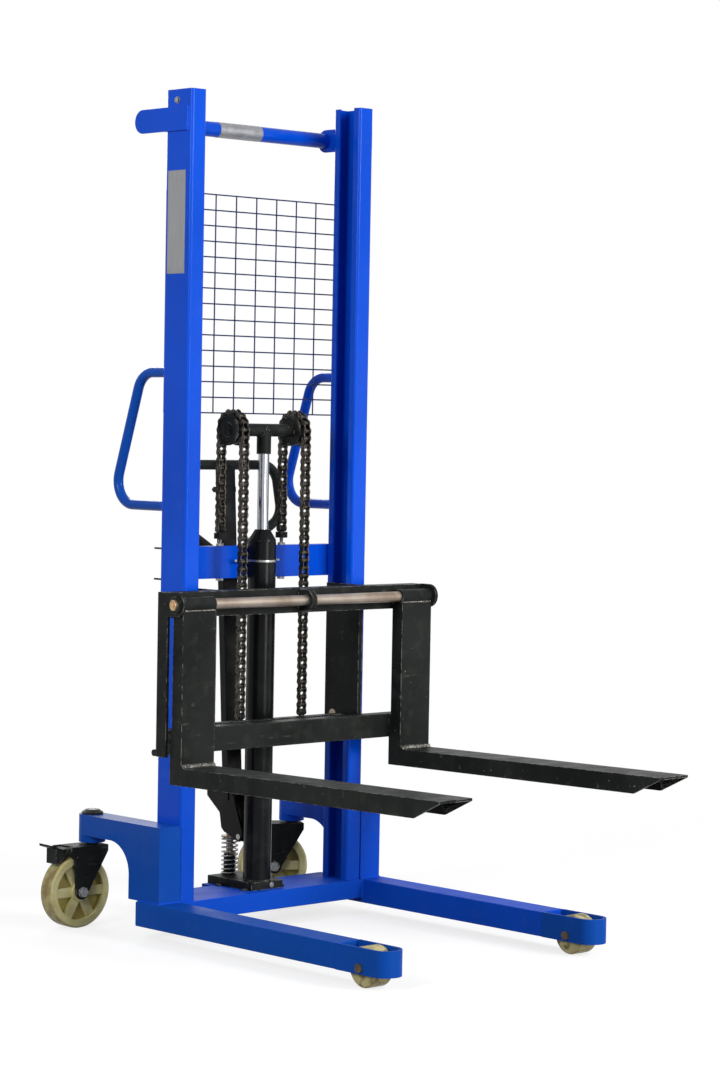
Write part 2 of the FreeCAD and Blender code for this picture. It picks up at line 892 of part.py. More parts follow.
def at_stem(side, piece):
    return place(piece, (signed(side, stem_place), S.stem_reach, 0), caster_turns[side])


def caster_fork(side):
    """Race, crown plate, two cheeks and the axle bolt of one caster."""
    name = f"caster_fork_{SIDE_NAMES[side]}"
    race = rod(f"{name}_race", (0, 0, crown_top), "+Z", S.race_radius, S.race_height)
    crown = box(f"{name}_crown", (-caster_bolt_half, -S.crown_front, crown_bottom),
                (caster_bolt_half * 2, S.crown_front + S.crown_rear, S.crown_thickness))
    cheek_corners = [
        (-S.crown_front, crown_top),
        (S.cheek_rear, crown_top),
        (S.cheek_rear, crown_top - S.cheek_ear_depth),
        (S.crown_rear, crown_top - S.cheek_ear_depth * 2),
        (S.caster_trail + S.cheek_foot, S.caster_radius),
        (S.caster_trail - S.cheek_foot, S.caster_radius),
        (-S.crown_front, crown_top - S.cheek_ear_depth),
    ]
    cheeks = []
    for place_name, start in (("low", -caster_bolt_half), ("high", cheek_inner)):
        cheeks.append(prism(f"{name}_cheek_{place_name}", "YZ_Plane", cheek_corners, start, S.fork_cheek))
        cheeks.append(rod(f"{name}_foot_{place_name}", (start, S.caster_trail, S.caster_radius), "+X",
                          S.cheek_foot, S.fork_cheek))
    hole_length = caster_bolt_half * 2
    pedal_hole = rod(f"{name}_pedal_hole", (-caster_bolt_half, S.pedal_pivot_reach, pedal_pivot_height), "+X",
                     S.pedal_pivot_radius + S.running_gap, hole_length)
    bolt_hole = rod(f"{name}_bolt_hole", (-caster_bolt_half, S.caster_trail, S.caster_radius), "+X",
                    S.caster_axle_radius, hole_length)
    frame = cut(f"{name}_frame", fuse(f"{name}_solid", [race, crown] + cheeks), [pedal_hole, bolt_hole])
    bar = rod(f"{name}_bolt_bar", (-caster_bolt_half, S.caster_trail, S.caster_radius), "+X",
              S.caster_axle_radius, hole_length)
    heads = [rod(f"{name}_bolt_{place_name}", (x, S.caster_trail, S.caster_radius), "+X",
                 S.caster_bolt_radius, S.caster_bolt_head)
             for place_name, x in (("low", -caster_bolt_half - S.caster_bolt_head),
                                   ("high", caster_bolt_half))]
    bolt = fuse(f"{name}_bolt", [bar] + heads)
    keep(at_stem(side, group(name, [frame, bolt])), name)


def caster_wheel(side):
    """Tread, web, hub and ribs of one nylon wheel."""
    name = f"caster_wheel_{SIDE_NAMES[side]}"
    bore = S.caster_axle_radius + S.running_gap
    rim = S.caster_radius - S.caster_rim
    half = S.caster_width / 2
    edge = S.caster_chamfer
    corners = [
        (bore, -S.caster_hub_width / 2),
        (S.caster_hub_radius, -S.caster_hub_width / 2),
        (S.caster_hub_radius, -S.caster_web / 2),
        (rim, -S.caster_web / 2),
        (rim, -half),
        (S.caster_radius - edge, -half),
        (S.caster_radius, edge - half),
        (S.caster_radius, half - edge),
        (S.caster_radius - edge, half),
        (rim, half),
        (rim, S.caster_web / 2),
        (S.caster_hub_radius, S.caster_web / 2),
        (S.caster_hub_radius, S.caster_hub_width / 2),
        (bore, S.caster_hub_width / 2),
    ]
    core = place(turned(f"{name}_core", corners), (0, S.caster_trail, S.caster_radius), AXIS_TURNS["+X"])
    inner_share = 0.8
    rib_low = S.caster_hub_radius * inner_share
    ribs = []
    for index in range(WHEEL_RIBS):
        rib = box(f"{name}_rib_{index}", (0, 0, 0),
                  (S.caster_width * inner_share, S.caster_rib, rim - rib_low + edge))
        degrees = 360 / WHEEL_RIBS * index + WHEEL_RIB_TURN
        turn = FreeCAD.Rotation(FreeCAD.Vector(1, 0, 0), degrees)
        angle = math.radians(degrees)
        low_y = S.caster_trail - S.caster_rib / 2 * math.cos(angle) - rib_low * math.sin(angle)
        low_z = S.caster_radius - S.caster_rib / 2 * math.sin(angle) + rib_low * math.cos(angle)
        ribs.append(place(rib, (-S.caster_width * inner_share / 2, low_y, low_z), turn))
    keep(at_stem(side, fuse(name, [core] + ribs)), name)


def brake_pedal(side):
    name = f"brake_pedal_{SIDE_NAMES[side]}"
    start = S.crown_rear + S.pedal_gap
    low = pedal_pivot_height - S.pedal_thickness / 2
    high = pedal_pivot_height + S.pedal_thickness / 2
    bend = S.cheek_rear + S.pedal_gap
    corners = [
        (start, low),
        (bend, low),
        (S.pedal_reach, low + S.pedal_rise),
        (S.pedal_reach, high + S.pedal_rise),
        (bend, high),
        (start, high),
    ]
    lever = prism(f"{name}_lever", "YZ_Plane", corners, -S.pedal_width / 2, S.pedal_width)
    shoe = prism(f"{name}_shoe", "YZ_Plane", [
        (S.shoe_front, high),
        (S.shoe_reach, high),
        (S.shoe_reach, low - S.shoe_drop),
        (S.shoe_reach - S.pedal_thickness, low - S.shoe_drop),
        (S.shoe_front, low - S.shoe_step),
    ], -S.pedal_width / 2, S.pedal_width)
    pivot = rod(f"{name}_pivot", (-caster_bolt_half, S.pedal_pivot_reach, pedal_pivot_height), "+X",
                S.pedal_pivot_radius, caster_bolt_half * 2)
    keep(at_stem(side, fuse(name, [lever, shoe, pivot])), name)


for side in (LEFT, RIGHT):
    caster_fork(side)
    caster_wheel(side)
    brake_pedal(side)


# Lift cylinder on the pump block
block_top = S.base_top + S.block_height
keep(tube("cylinder_tube", (0, lift_reach, block_top), "+Z", S.cylinder_radius, S.cylinder_bore_radius,
          S.cylinder_top - block_top), "cylinder_tube")

gland_bore = S.rod_radius + S.running_gap
gland_height = S.gland_top - S.cylinder_top
gland = turned("cylinder_gland", [
    (gland_bore, 0),
    (S.gland_radius, 0),
    (S.gland_radius, gland_height - S.gland_cone),
    (S.gland_radius - S.gland_bevel, gland_height),
    (gland_bore, gland_height),
])
keep(place(gland, (0, lift_reach, S.cylinder_top)), "cylinder_gland")


def cylinder_clamp():
    """A strap round the cylinder's front that ends on the crossbar, with an ear on each side."""
    inner = S.cylinder_radius + S.running_gap
    outer = inner + S.clamp_thickness
    bottom = crossbar_top - S.clamp_drop
    pieces = {}
    for kind, radius in (("outer", outer), ("inner", inner)):
        ring = rod(f"clamp_{kind}_ring", (0, lift_reach, bottom), "+Z", radius, S.clamp_height)
        legs = box(f"clamp_{kind}_legs", (-radius, lift_reach, bottom),
                   (radius * 2, S.post_depth - lift_reach, S.clamp_height))
        pieces[kind] = fuse(f"clamp_{kind}", [ring, legs])
    back = box("clamp_back", (-outer, S.post_depth, bottom), (outer * 2, outer, S.clamp_height))
    strap = cut("clamp_strap", pieces["outer"], [fuse("clamp_openings", [pieces["inner"], back])])
    ears = [box(f"clamp_ear_{SIDE_NAMES[side]}",
                (low_x(side, outer, S.clamp_ear), lift_reach + S.clamp_ear_place, bottom),
                (S.clamp_ear, S.clamp_thickness, S.clamp_height))
            for side in (LEFT, RIGHT)]
    keep(fuse("cylinder_clamp", [strap] + ears), "cylinder_clamp")


cylinder_clamp()


# Ram: piston, rod and the head that carries the pulleys
rod_top = S.gland_top + S.rod_showing
head_bottom = rod_top + S.socket_height
pulley_height = head_bottom + S.head_depth / 2
piston = turned("ram", [
    (0, 0),
    (S.cylinder_bore_radius - S.running_gap, 0),
    (S.cylinder_bore_radius - S.running_gap, S.piston_height),
    (S.rod_radius, S.piston_height),
    (S.rod_radius, rod_top - S.rod_foot),
    (0, rod_top - S.rod_foot),
])
keep(place(piston, (0, lift_reach, S.rod_foot)), "ram")

head_socket = rod("lift_head_socket", (0, lift_reach, rod_top), "+Z", S.socket_radius,
                  S.socket_height + S.head_depth / 2)
head_bar = rod("lift_head_bar", (-S.head_half_width, lift_reach, pulley_height), "+X", S.head_depth / 2,
               S.head_half_width * 2)

link_half_width = S.chain_inner_half_gap + S.chain_plate * 2 + S.chain_play
flange_start = link_half_width + S.chain_plate + S.chain_play
pulley_half_width = flange_start + S.pulley_flange


def chain_pulley(side):
    """A drum between the link plates with a flange on each side, its outer face dished inside a rim."""
    name = f"chain_pulley_{SIDE_NAMES[side]}"
    bore = S.pulley_pin_radius + S.running_gap
    drum = chain_radius - S.chain_roller_radius - S.seat_gap
    drum_half = S.chain_inner_half_gap - S.seat_gap
    rim = S.pulley_flange_radius - S.pulley_rim
    dish = pulley_half_width - S.pulley_recess
    corners = [
        (bore, -pulley_half_width),
        (S.pulley_hub_radius, -pulley_half_width),
        (S.pulley_hub_radius, -dish),
        (rim, -dish),
        (rim, -pulley_half_width),
        (S.pulley_flange_radius, -pulley_half_width),
        (S.pulley_flange_radius, -flange_start),
        (S.pulley_hub_radius, -flange_start),
        (S.pulley_hub_radius, -drum_half),
        (drum, -drum_half),
        (drum, drum_half),
        (S.pulley_hub_radius, drum_half),
        (S.pulley_hub_radius, flange_start),
        (S.pulley_flange_radius, flange_start),
        (S.pulley_flange_radius, pulley_half_width),
        (rim, pulley_half_width),
        (rim, dish),
        (S.pulley_hub_radius, dish),
        (S.pulley_hub_radius, pulley_half_width),
        (bore, pulley_half_width),
    ]
    body = turned(name, corners)
    place(body, (signed(side, S.chain_place), lift_reach, pulley_height), AXIS_TURNS["+X"])
    keep(body, name)


def pulley_pin(side):
    name = f"pulley_pin_{SIDE_NAMES[side]}"
    reach = S.chain_place + pulley_half_width + S.seat_gap
    head_radius = S.pulley_pin_radius + S.pulley_pin_head
    bar = rod(f"{name}_bar", (signed(side, S.head_half_width), lift_reach, pulley_height), OUTWARD[side],
              S.pulley_pin_radius, reach - S.head_half_width)
    head = rod(f"{name}_head", (signed(side, reach), lift_reach, pulley_height), OUTWARD[side],
               head_radius, S.pulley_pin_head)
    return fuse(name, [bar, head])


for side in (LEFT, RIGHT):
    chain_pulley(side)
keep(fuse("lift_head", [head_socket, head_bar] + [pulley_pin(side) for side in (LEFT, RIGHT)]), "lift_head")


# Roller chains: bushed inner links and pinned outer links, laid along a straight run or round a pulley

def link_plate(x, thickness, half_height):
    """An oblong plate from pin to pin along +z, its low face at x."""
    pitch = S.chain_pitch.value
    web = Part.makeBox(thickness, half_height * 2, pitch, FreeCAD.Vector(x, -half_height, 0))
    ends = [Part.makeCylinder(half_height, thickness, FreeCAD.Vector(x, 0, z), FreeCAD.Vector(1, 0, 0))
            for z in (0, pitch)]
    return web.multiFuse(ends).removeSplitter()


def link_bar(radius, half_length, z):
    start = FreeCAD.Vector(-half_length, 0, z)
    return Part.makeCylinder(radius, half_length * 2, start, FreeCAD.Vector(1, 0, 0))


def inner_link():
    gap = S.chain_inner_half_gap.value
    plate = S.chain_plate.value
    pitch = S.chain_pitch.value
    high = S.chain_inner_half_height.value
    plates = [link_plate(gap, plate, high), link_plate(-gap - plate, plate, high)]
    rollers = [link_bar(S.chain_roller_radius.value, gap, z) for z in (0, pitch)]
    bore = S.chain_pin_radius.value + S.running_gap.value
    holes = [link_bar(bore, gap + plate * 2, z) for z in (0, pitch)]
    return plates[0].multiFuse(plates[1:] + rollers).cut(holes[0]).cut(holes[1])


def outer_link():
    plate = S.chain_plate.value
    start = S.chain_inner_half_gap.value + plate + S.chain_play.value
    high = S.chain_outer_half_height.value
    pitch = S.chain_pitch.value
    plates = [link_plate(start, plate, high), link_plate(-start - plate, plate, high)]
    pins = [link_bar(S.chain_pin_radius.value, start + plate, z) for z in (0, pitch)]
    return plates[0].multiFuse(plates[1:] + pins)


LINKS = {0: outer_link(), 1: inner_link()}


def laid_link(index, x, start, end):
    """One link of the chain from pin place start to pin place end, both (y, z)."""
    angle = math.degrees(math.atan2(end[1] - start[1], end[0] - start[0])) - 90
    link = LINKS[index % 2].copy()
    link.Placement = FreeCAD.Placement(FreeCAD.Vector(x, start[0], start[1]),
                                       FreeCAD.Rotation(FreeCAD.Vector(1, 0, 0), angle))
    return link


def chain_pins():
    """Pin places (y, z) from the rear anchor up, over the pulley and down to the carriage."""
    pitch = S.chain_pitch.value
    top = pulley_height.value
    rear = [(rear_chain.value, top - pitch * (REAR_LINKS - i)) for i in range(REAR_LINKS)]
    wrap = [(lift_reach.value + chain_radius.value * math.cos(math.pi * i / WRAP_LINKS),
             top + chain_radius.value * math.sin(math.pi * i / WRAP_LINKS)) for i in range(WRAP_LINKS)]
    front = [(front_chain.value, top - pitch * i) for i in range(FRONT_LINKS + 1)]
    return rear + wrap + front


def chain_run(name, first, count):
    pins = chain_pins()
    links = [laid_link(i, signed(side, S.chain_place).value, pins[i], pins[i + 1])
             for side in (LEFT, RIGHT) for i in range(first, first + count)]
    keep(made(name, Part.makeCompound(links)), name)


chain_run("rear_chains", 0, REAR_LINKS)
chain_run("chain_wraps", REAR_LINKS, WRAP_LINKS)
chain_run("front_chains", REAR_LINKS + WRAP_LINKS, FRONT_LINKS)


# Chain anchors: an eye on the last pin over a block with a threaded rod, and nuts that hold the rod
rear_pin_height = pulley_height - S.chain_pitch * REAR_LINKS
front_pin_height = pulley_height - S.chain_pitch * FRONT_LINKS
eye_half = S.chain_inner_half_gap - S.seat_gap


def chain_eye(name, x, reach, pin_height):
    """A round eye between the last link's plates."""
    eye = rod(f"{name}_eye", (x - eye_half, reach, pin_height), "+X", S.anchor_eye_radius, eye_half * 2)
    hole = rod(f"{name}_hole", (x - eye_half, reach, pin_height), "+X",
               S.chain_pin_radius + S.running_gap, eye_half * 2)
    return eye, hole


def rear_anchor(side):
    name = f"rear_anchor_{SIDE_NAMES[side]}"
    x = signed(side, S.chain_place)
    eye, hole = chain_eye(name, x, rear_chain, rear_pin_height)
    start = S.crossbar_bottom - S.anchor_nut
    shank = rod(f"{name}_shank", (x, rear_chain, start), "+Z", S.anchor_rod_radius, rear_pin_height - start)
    half = S.anchor_block_half_width
    top = rear_pin_height - S.chain_outer_half_height - S.seat_gap
    block = box(f"{name}_block", (x - half, rear_chain - half, top - S.anchor_block_height),
                (half * 2, half * 2, S.anchor_block_height))
    return cut(name, fuse(f"{name}_solid", [eye, shank, block]), [hole])


def anchor_nut(side, place_name, height):
    name = f"anchor_nut_{SIDE_NAMES[side]}_{place_name}"
    x = signed(side, S.chain_place)
    return tube(name, (x, rear_chain, height), "+Z", S.anchor_nut_radius, S.anchor_rod_radius, S.anchor_nut)


keep(group("chain_anchors", [rear_anchor(side) for side in (LEFT, RIGHT)]), "chain_anchors")
nut_heights = {"low": S.crossbar_bottom - S.anchor_nut, "high": crossbar_top}
anchor_nuts = [anchor_nut(side, level, height)
               for side in (LEFT, RIGHT) for level, height in nut_heights.items()]


# Fork carriage: beam, bar, end plates, roller plates, chain bar and fork shaft
carriage_depth = S.carriage_front - S.carriage_rear
frame_half = S.carriage_half_width - S.end_plate
beam_low = S.carriage_top - S.carriage_beam_height


def hollow_bar(name, bottom, height):
    block = box(f"{name}_block", (-frame_half, -S.carriage_front, bottom),
                (frame_half * 2, carriage_depth, height))
    hollow = box(f"{name}_hollow",
                 (-frame_half, S.carriage_wall - S.carriage_front, bottom + S.carriage_wall),
                 (frame_half * 2, carriage_depth - S.carriage_wall * 2, height - S.carriage_wall * 2))
    return cut(name, block, [hollow])


def shaft_lug(name, start, thickness, radius, root):
    """A plate from a root behind the shaft to a round eye on the shaft."""
    arm = box(f"{name}_arm", (start, -S.shaft_reach, S.shaft_height - radius),
              (thickness, S.shaft_reach - root, radius * 2))
    eye = rod(f"{name}_eye", (start, -S.shaft_reach, S.shaft_height), "+X", radius, thickness)
    return [arm, eye]


def shaft_hole(name, start, thickness):
    return rod(f"{name}_hole", (start, -S.shaft_reach, S.shaft_height), "+X", S.shaft_radius, thickness)


def end_plate(side):
    name = f"end_plate_{SIDE_NAMES[side]}"
    low = low_x(side, frame_half, S.end_plate)
    bottom = S.carriage_bar_bottom - S.end_plate_drop
    front = S.carriage_front - S.end_plate_set_back
    strip = box(f"{name}_strip", (low, -front, bottom),
                (S.end_plate, front - S.carriage_rear, S.carriage_top - bottom))
    lug = shaft_lug(name, low, S.end_plate, S.shaft_lug_radius, front)
    return cut(name, fuse(f"{name}_solid", [strip] + lug), [shaft_hole(name, low, S.end_plate)])


def buffer(side):
    """A rubber disc low on the back of an end plate."""
    name = f"buffer_{SIDE_NAMES[side]}"
    low = low_x(side, S.carriage_half_width - S.buffer_width, S.buffer_width)
    height = S.carriage_bar_bottom - S.end_plate_drop + S.buffer_radius
    return rod(name, (low, S.buffer_radius - S.carriage_rear, height), "+X", S.buffer_radius, S.buffer_width)


center_low = -S.center_lug / 2
center_arm = shaft_lug("center_lug", center_low, S.center_lug, S.center_lug_radius, S.carriage_front)
center_lug = cut("center_lug", fuse("center_lug_solid", center_arm),
                 [shaft_hole("center_lug", center_low, S.center_lug)])
keep(fuse("carriage_beam", [hollow_bar("carriage_beam_tube", beam_low, S.carriage_beam_height), center_lug]),
     "carriage_beam")
keep(hollow_bar("carriage_bar", S.carriage_bar_bottom, S.carriage_bar_height), "carriage_bar")
keep(group("end_plates", [end_plate(side) for side in (LEFT, RIGHT)]), "end_plates")
keep(group("buffers", [buffer(side) for side in (LEFT, RIGHT)]), "buffers")
keep(rod("fork_shaft", (-S.shaft_half_length, -S.shaft_reach, S.shaft_height), "+X", S.shaft_radius,
         S.shaft_half_length * 2), "fork_shaft")


def shaft_retainer(side):
    name = f"shaft_retainer_{SIDE_NAMES[side]}"
    start = signed(side, S.carriage_half_width)
    return tube(name, (start, -S.shaft_reach, S.shaft_height), OUTWARD[side], S.retainer_radius,
                S.shaft_radius, S.retainer)


keep(group("shaft_retainers", [shaft_retainer(side) for side in (LEFT, RIGHT)]), "shaft_retainers")

roller_middle = S.post_depth / 2
plate_outer = S.roller_plate_place + S.roller_plate
mast_roller_start = post_inner + S.post_wall + S.mast_roller_side_gap
roller_heights = {"upper": S.mast_roller_upper, "lower": S.mast_roller_lower}


def roller_plate(side):
    """A plate behind the frame with holes for two roller pins."""
    name = f"roller_plate_{SIDE_NAMES[side]}"
    low = low_x(side, S.roller_plate_place, S.roller_plate)
    plate = box(f"{name}_block", (low, -S.carriage_rear, S.carriage_bar_bottom),
                (S.roller_plate, S.carriage_rear + S.roller_plate_rear,
                 S.carriage_top - S.carriage_bar_bottom))
    holes = [rod(f"{name}_{level}_hole", (low, roller_middle, height), "+X",
                 S.mast_pin_radius, S.roller_plate)
             for level, height in roller_heights.items()]
    return cut(name, plate, holes)


def mast_pin(side, level):
    name = f"mast_pin_{SIDE_NAMES[side]}_{level}"
    height = roller_heights[level]
    start = signed(side, S.roller_plate_place)
    reach = mast_roller_start + S.mast_roller_width - S.roller_plate_place
    bar = rod(f"{name}_bar", (start, roller_middle, height), OUTWARD[side], S.mast_pin_radius, reach)
    collar = rod(f"{name}_collar", (signed(side, plate_outer), roller_middle, height), OUTWARD[side],
                 S.mast_pin_radius + S.mast_pin_head, mast_roller_start - plate_outer - S.seat_gap)
    return fuse(name, [bar, collar])


def mast_roller(side, level):
    name = f"mast_roller_{SIDE_NAMES[side]}_{level}"
    edge = S.mast_roller_chamfer
    bore = S.mast_pin_radius + S.running_gap
    corners = [
        (bore, 0),
        (S.mast_roller_radius - edge, 0),
        (S.mast_roller_radius, edge),
        (S.mast_roller_radius, S.mast_roller_width - edge),
        (S.mast_roller_radius - edge, S.mast_roller_width),
        (bore, S.mast_roller_width),
    ]
    body = turned(name, corners)
    place(body, (signed(side, mast_roller_start), roller_middle, roller_heights[level]),
          AXIS_TURNS[OUTWARD[side]])
    keep(body, name)


keep(group("roller_plates", [roller_plate(side) for side in (LEFT, RIGHT)]), "roller_plates")
keep(group("mast_roller_pins", [mast_pin(side, level) for side in (LEFT, RIGHT) for level in roller_heights]),
     "mast_roller_pins")
for side in (LEFT, RIGHT):
    for level in roller_heights:
        mast_roller(side, level)


def chain_bar():
    """A bar between the roller plates with an eye for each front chain."""
    top = front_pin_height - S.anchor_eye_radius
    block = box("chain_bar_block", (-S.roller_plate_place, -S.chain_bar_lead, top - S.chain_bar_height),
                (S.roller_plate_place * 2, S.chain_bar_depth, S.chain_bar_height))
    solids = [block]
    holes = []
    for side in (LEFT, RIGHT):
        name = f"front_anchor_{SIDE_NAMES[side]}"
        x = signed(side, S.chain_place)
        eye, hole = chain_eye(name, x, front_chain, front_pin_height)
        foot = box(f"{name}_foot", (x - eye_half, front_chain - S.anchor_rod_radius, top),
                   (eye_half * 2, S.anchor_rod_radius * 2, S.anchor_eye_radius))
        solids += [eye, foot]
        holes.append(hole)
    keep(cut("chain_bar", fuse("chain_bar_solid", solids), holes), "chain_bar")


chain_bar()


# Forks: a channel blade and a channel shank under a sleeve on the shaft, its back cut away above the bar
shank_rear = S.carriage_front + S.seat_gap
shank_front = shank_rear + S.shank_depth


def fork(side):
    name = f"fork_{SIDE_NAMES[side]}"
    low = low_x(side, S.fork_place, S.fork_width)
    tip_top = S.heel_top + S.tip_rise
    shoulder_bottom = S.heel_bottom + S.shoulder_rise
    blade = prism(f"{name}_blade", "YZ_Plane", [
        (-shank_rear, S.heel_bottom),
        (-shank_rear, S.heel_top),
        (-S.fork_reach, tip_top),
        (-S.fork_reach, tip_top - S.tip_thickness),
        (-S.fork_shoulder_reach, shoulder_bottom),
    ], low, S.fork_width)
    inside = prism(f"{name}_inside", "YZ_Plane", [
        (S.overrun - shank_rear, S.heel_bottom - S.overrun),
        (S.overrun - shank_rear, S.heel_top - S.tip_thickness),
        (-S.fork_reach - S.overrun, tip_top - S.tip_thickness),
        (-S.fork_reach - S.overrun, S.heel_bottom - S.overrun),
    ], low + S.fork_wall, S.fork_width - S.fork_wall * 2)
    shank = box(f"{name}_shank", (low, -shank_front, S.heel_top - S.tip_thickness),
                (S.fork_width, S.shank_depth, S.shank_top - S.heel_top + S.tip_thickness))
    shank_inside = box(f"{name}_shank_inside",
                       (low + S.shank_wall, S.shank_wall - shank_front, S.heel_top + S.shank_wall),
                       (S.fork_width - S.shank_wall * 2, S.shank_depth,
                        S.shank_top - S.heel_top - S.shank_wall * 2))
    slope = S.tip_rise / (S.fork_reach - shank_rear)
    weld_foot = S.heel_top + slope * (S.shank_depth + S.heel_weld)
    weld_top = S.heel_top + slope * S.shank_depth + S.heel_weld
    weld = prism(f"{name}_weld", "YZ_Plane", [
        (S.overrun - shank_front, S.heel_top),
        (S.overrun - shank_front, weld_top),
        (-shank_front, weld_top),
        (-shank_front - S.heel_weld, weld_foot),
        (-shank_front - S.heel_weld, S.heel_top),
    ], low, S.fork_width)
    sleeve = rod(f"{name}_sleeve", (low, -S.shaft_reach, S.shaft_height), "+X", S.sleeve_radius, S.fork_width)
    bore = rod(f"{name}_bore", (low, -S.shaft_reach, S.shaft_height), "+X",
               S.shaft_radius + S.running_gap, S.fork_width)
    channel = cut(f"{name}_channel", blade, [inside])
    relief_bottom = S.carriage_bar_bottom + S.carriage_bar_height
    relief = box(f"{name}_relief", (low, -shank_rear - S.shank_relief, relief_bottom),
                 (S.fork_width, S.shank_relief + S.overrun, S.shank_top - relief_bottom + S.overrun))
    upright = cut(f"{name}_upright", shank, [fuse(f"{name}_shank_openings", [shank_inside, relief])])
    keep(cut(name, fuse(f"{name}_solid", [channel, upright, weld, sleeve]), [bore]), name)


for side in (LEFT, RIGHT):
    fork(side)


# Tiller pivot, and the press roller that the leaning rocker holds over the pump
lean = math.radians(TILLER_LEAN)
tiller_turn = FreeCAD.Rotation(FreeCAD.Vector(1, 0, 0), -TILLER_LEAN)
press_reach = S.pivot_reach + S.press_roller_offset * math.cos(lean) + S.press_roller_lift * math.sin(lean)
press_height = S.pivot_height + S.press_roller_lift * math.cos(lean) - S.press_roller_offset * math.sin(lean)
plunger_top = press_height - S.press_roller_radius - S.seat_gap

# Pump: block with its barrel, plunger, return spring and the ears behind the cylinder for the pivot
pump_block_plate = box("pump_block_plate", (-S.block_half_width, S.block_front, S.base_top),
                       (S.block_half_width * 2, S.block_rear - S.block_front, S.block_height))
pump_barrel = tube("pump_barrel", (0, press_reach, block_top), "+Z", S.barrel_radius,
                   S.plunger_radius + S.running_gap, S.barrel_height)
keep(fuse("pump_block", [pump_block_plate, pump_barrel]), "pump_block")
plunger = turned("pump_plunger", [
    (0, 0),
    (S.plunger_radius, 0),
    (S.plunger_radius, S.spring_top - S.plunger_foot),
    (S.plunger_cap_radius, S.spring_top - S.plunger_foot),
    (S.plunger_cap_radius, S.spring_top + S.plunger_cap - S.plunger_foot),
    (S.plunger_radius, S.spring_top + S.plunger_cap - S.plunger_foot),
    (S.plunger_radius, plunger_top - S.plunger_foot),
    (0, plunger_top - S.plunger_foot),
])
keep(place(plunger, (0, press_reach, S.plunger_foot)), "pump_plunger")
spring = made("return_spring", coil(S.spring_radius.value, S.spring_wire_radius.value,
                                    (block_top + S.seat_gap).value, (S.spring_top - S.seat_gap).value,
                                    SPRING_TURNS))
keep(place(spring, (0, press_reach, 0)), "return_spring")


def pivot_ear(side):
    """A plate from the cylinder's rear to an eye on the pivot pin."""
    name = f"pivot_ear_{SIDE_NAMES[side]}"
    low = low_x(side, S.ear_inner, S.ear_thickness)
    plate = box(f"{name}_plate", (low, lift_reach, S.pivot_height - S.ear_half_depth),
                (S.ear_thickness, S.pivot_reach - lift_reach, S.ear_half_depth * 2))
    eye = rod(f"{name}_eye", (low, S.pivot_reach, S.pivot_height), "+X", S.ear_half_depth, S.ear_thickness)
    hole = rod(f"{name}_hole", (low, S.pivot_reach, S.pivot_height), "+X", S.pivot_radius, S.ear_thickness)
    seat = rod(f"{name}_seat", (0, lift_reach, S.pivot_height - S.ear_half_depth), "+Z",
               S.cylinder_radius + S.seat_gap, S.ear_half_depth * 2)
    return cut(name, fuse(f"{name}_solid", [plate, eye]), [hole, seat])


keep(group("pivot_ears", [pivot_ear(side) for side in (LEFT, RIGHT)]), "pivot_ears")
pin_half = S.rocker_half_width + S.overrun
keep(rod("tiller_pivot_pin", (-pin_half, S.pivot_reach, S.pivot_height), "+X", S.pivot_radius, pin_half * 2),
     "tiller_pivot_pin")


# Tiller: rocker cheeks at the pivot, flat tube arm and loop handle, drawn upright and then leaned back
lever_height = S.loop_top - S.lever_drop


def at_pivot(piece):
    return place(piece, (0, S.pivot_reach, S.pivot_height), tiller_turn)


def rocker_cheek(side):
    """A side cheek from the pivot eye to the press roller, with a rear flare below the arm."""
    low = low_x(side, S.rocker_half_width - S.rocker_wall, S.rocker_wall)
    half = S.tiller_depth / 2
    boss = S.press_boss_radius
    return prism(f"rocker_cheek_{SIDE_NAMES[side]}", "YZ_Plane", [
        (-S.rocker_round, 0),
        (0, -S.rocker_round),
        (S.press_roller_offset, S.press_roller_lift - boss),
        (S.press_roller_offset + boss, S.press_roller_lift),
        (S.rocker_neck, S.rocker_neck_height),
        (S.rocker_flare, S.rocker_flare_height),
        (S.rocker_flare, S.rocker_flare_height + S.rocker_flare_edge),
        (S.tiller_offset + half, S.rocker_height),
        (S.tiller_offset - half, S.rocker_height),
        (-S.rocker_round, S.rocker_round),
    ], low, S.rocker_wall)


def arm_block(name, bottom, top, wall):
    """The arm's flat bar between two heights, its faces a wall's thickness inside the tube."""
    width = S.tiller_width - wall * 2
    depth = S.tiller_depth - wall * 2
    return box(name, (-width / 2, S.tiller_offset - depth / 2, bottom), (width, depth, top - bottom))


def tiller_arm():
    arm = cut("tiller_tube", arm_block("tiller_block", S.tiller_foot, S.loop_top, 0),
              [arm_block("tiller_hollow", S.tiller_foot, S.loop_top, S.tiller_wall)])
    cheeks = [rocker_cheek(side) for side in (LEFT, RIGHT)]
    press_pin = rod("press_pin", (-S.rocker_half_width, S.press_roller_offset, S.press_roller_lift), "+X",
                    S.press_pin_radius, S.rocker_half_width * 2)
    solid = fuse("tiller_solid", [arm, press_pin] + cheeks)
    openings = [
        rod("tiller_pivot_hole", (-S.rocker_half_width, 0, 0), "+X", S.pivot_radius + S.running_gap,
            S.rocker_half_width * 2),
        rod("tiller_lever_hole", (-S.tiller_width / 2, S.tiller_offset, lever_height), "+X",
            S.lever_pin_radius + S.running_gap, S.tiller_width),
        rod("tiller_saddle", (-S.tiller_width / 2, S.tiller_offset, S.loop_top), "+X", S.loop_radius,
            S.tiller_width),
    ]
    keep(at_pivot(cut("tiller_arm", solid, openings)), "tiller_arm")


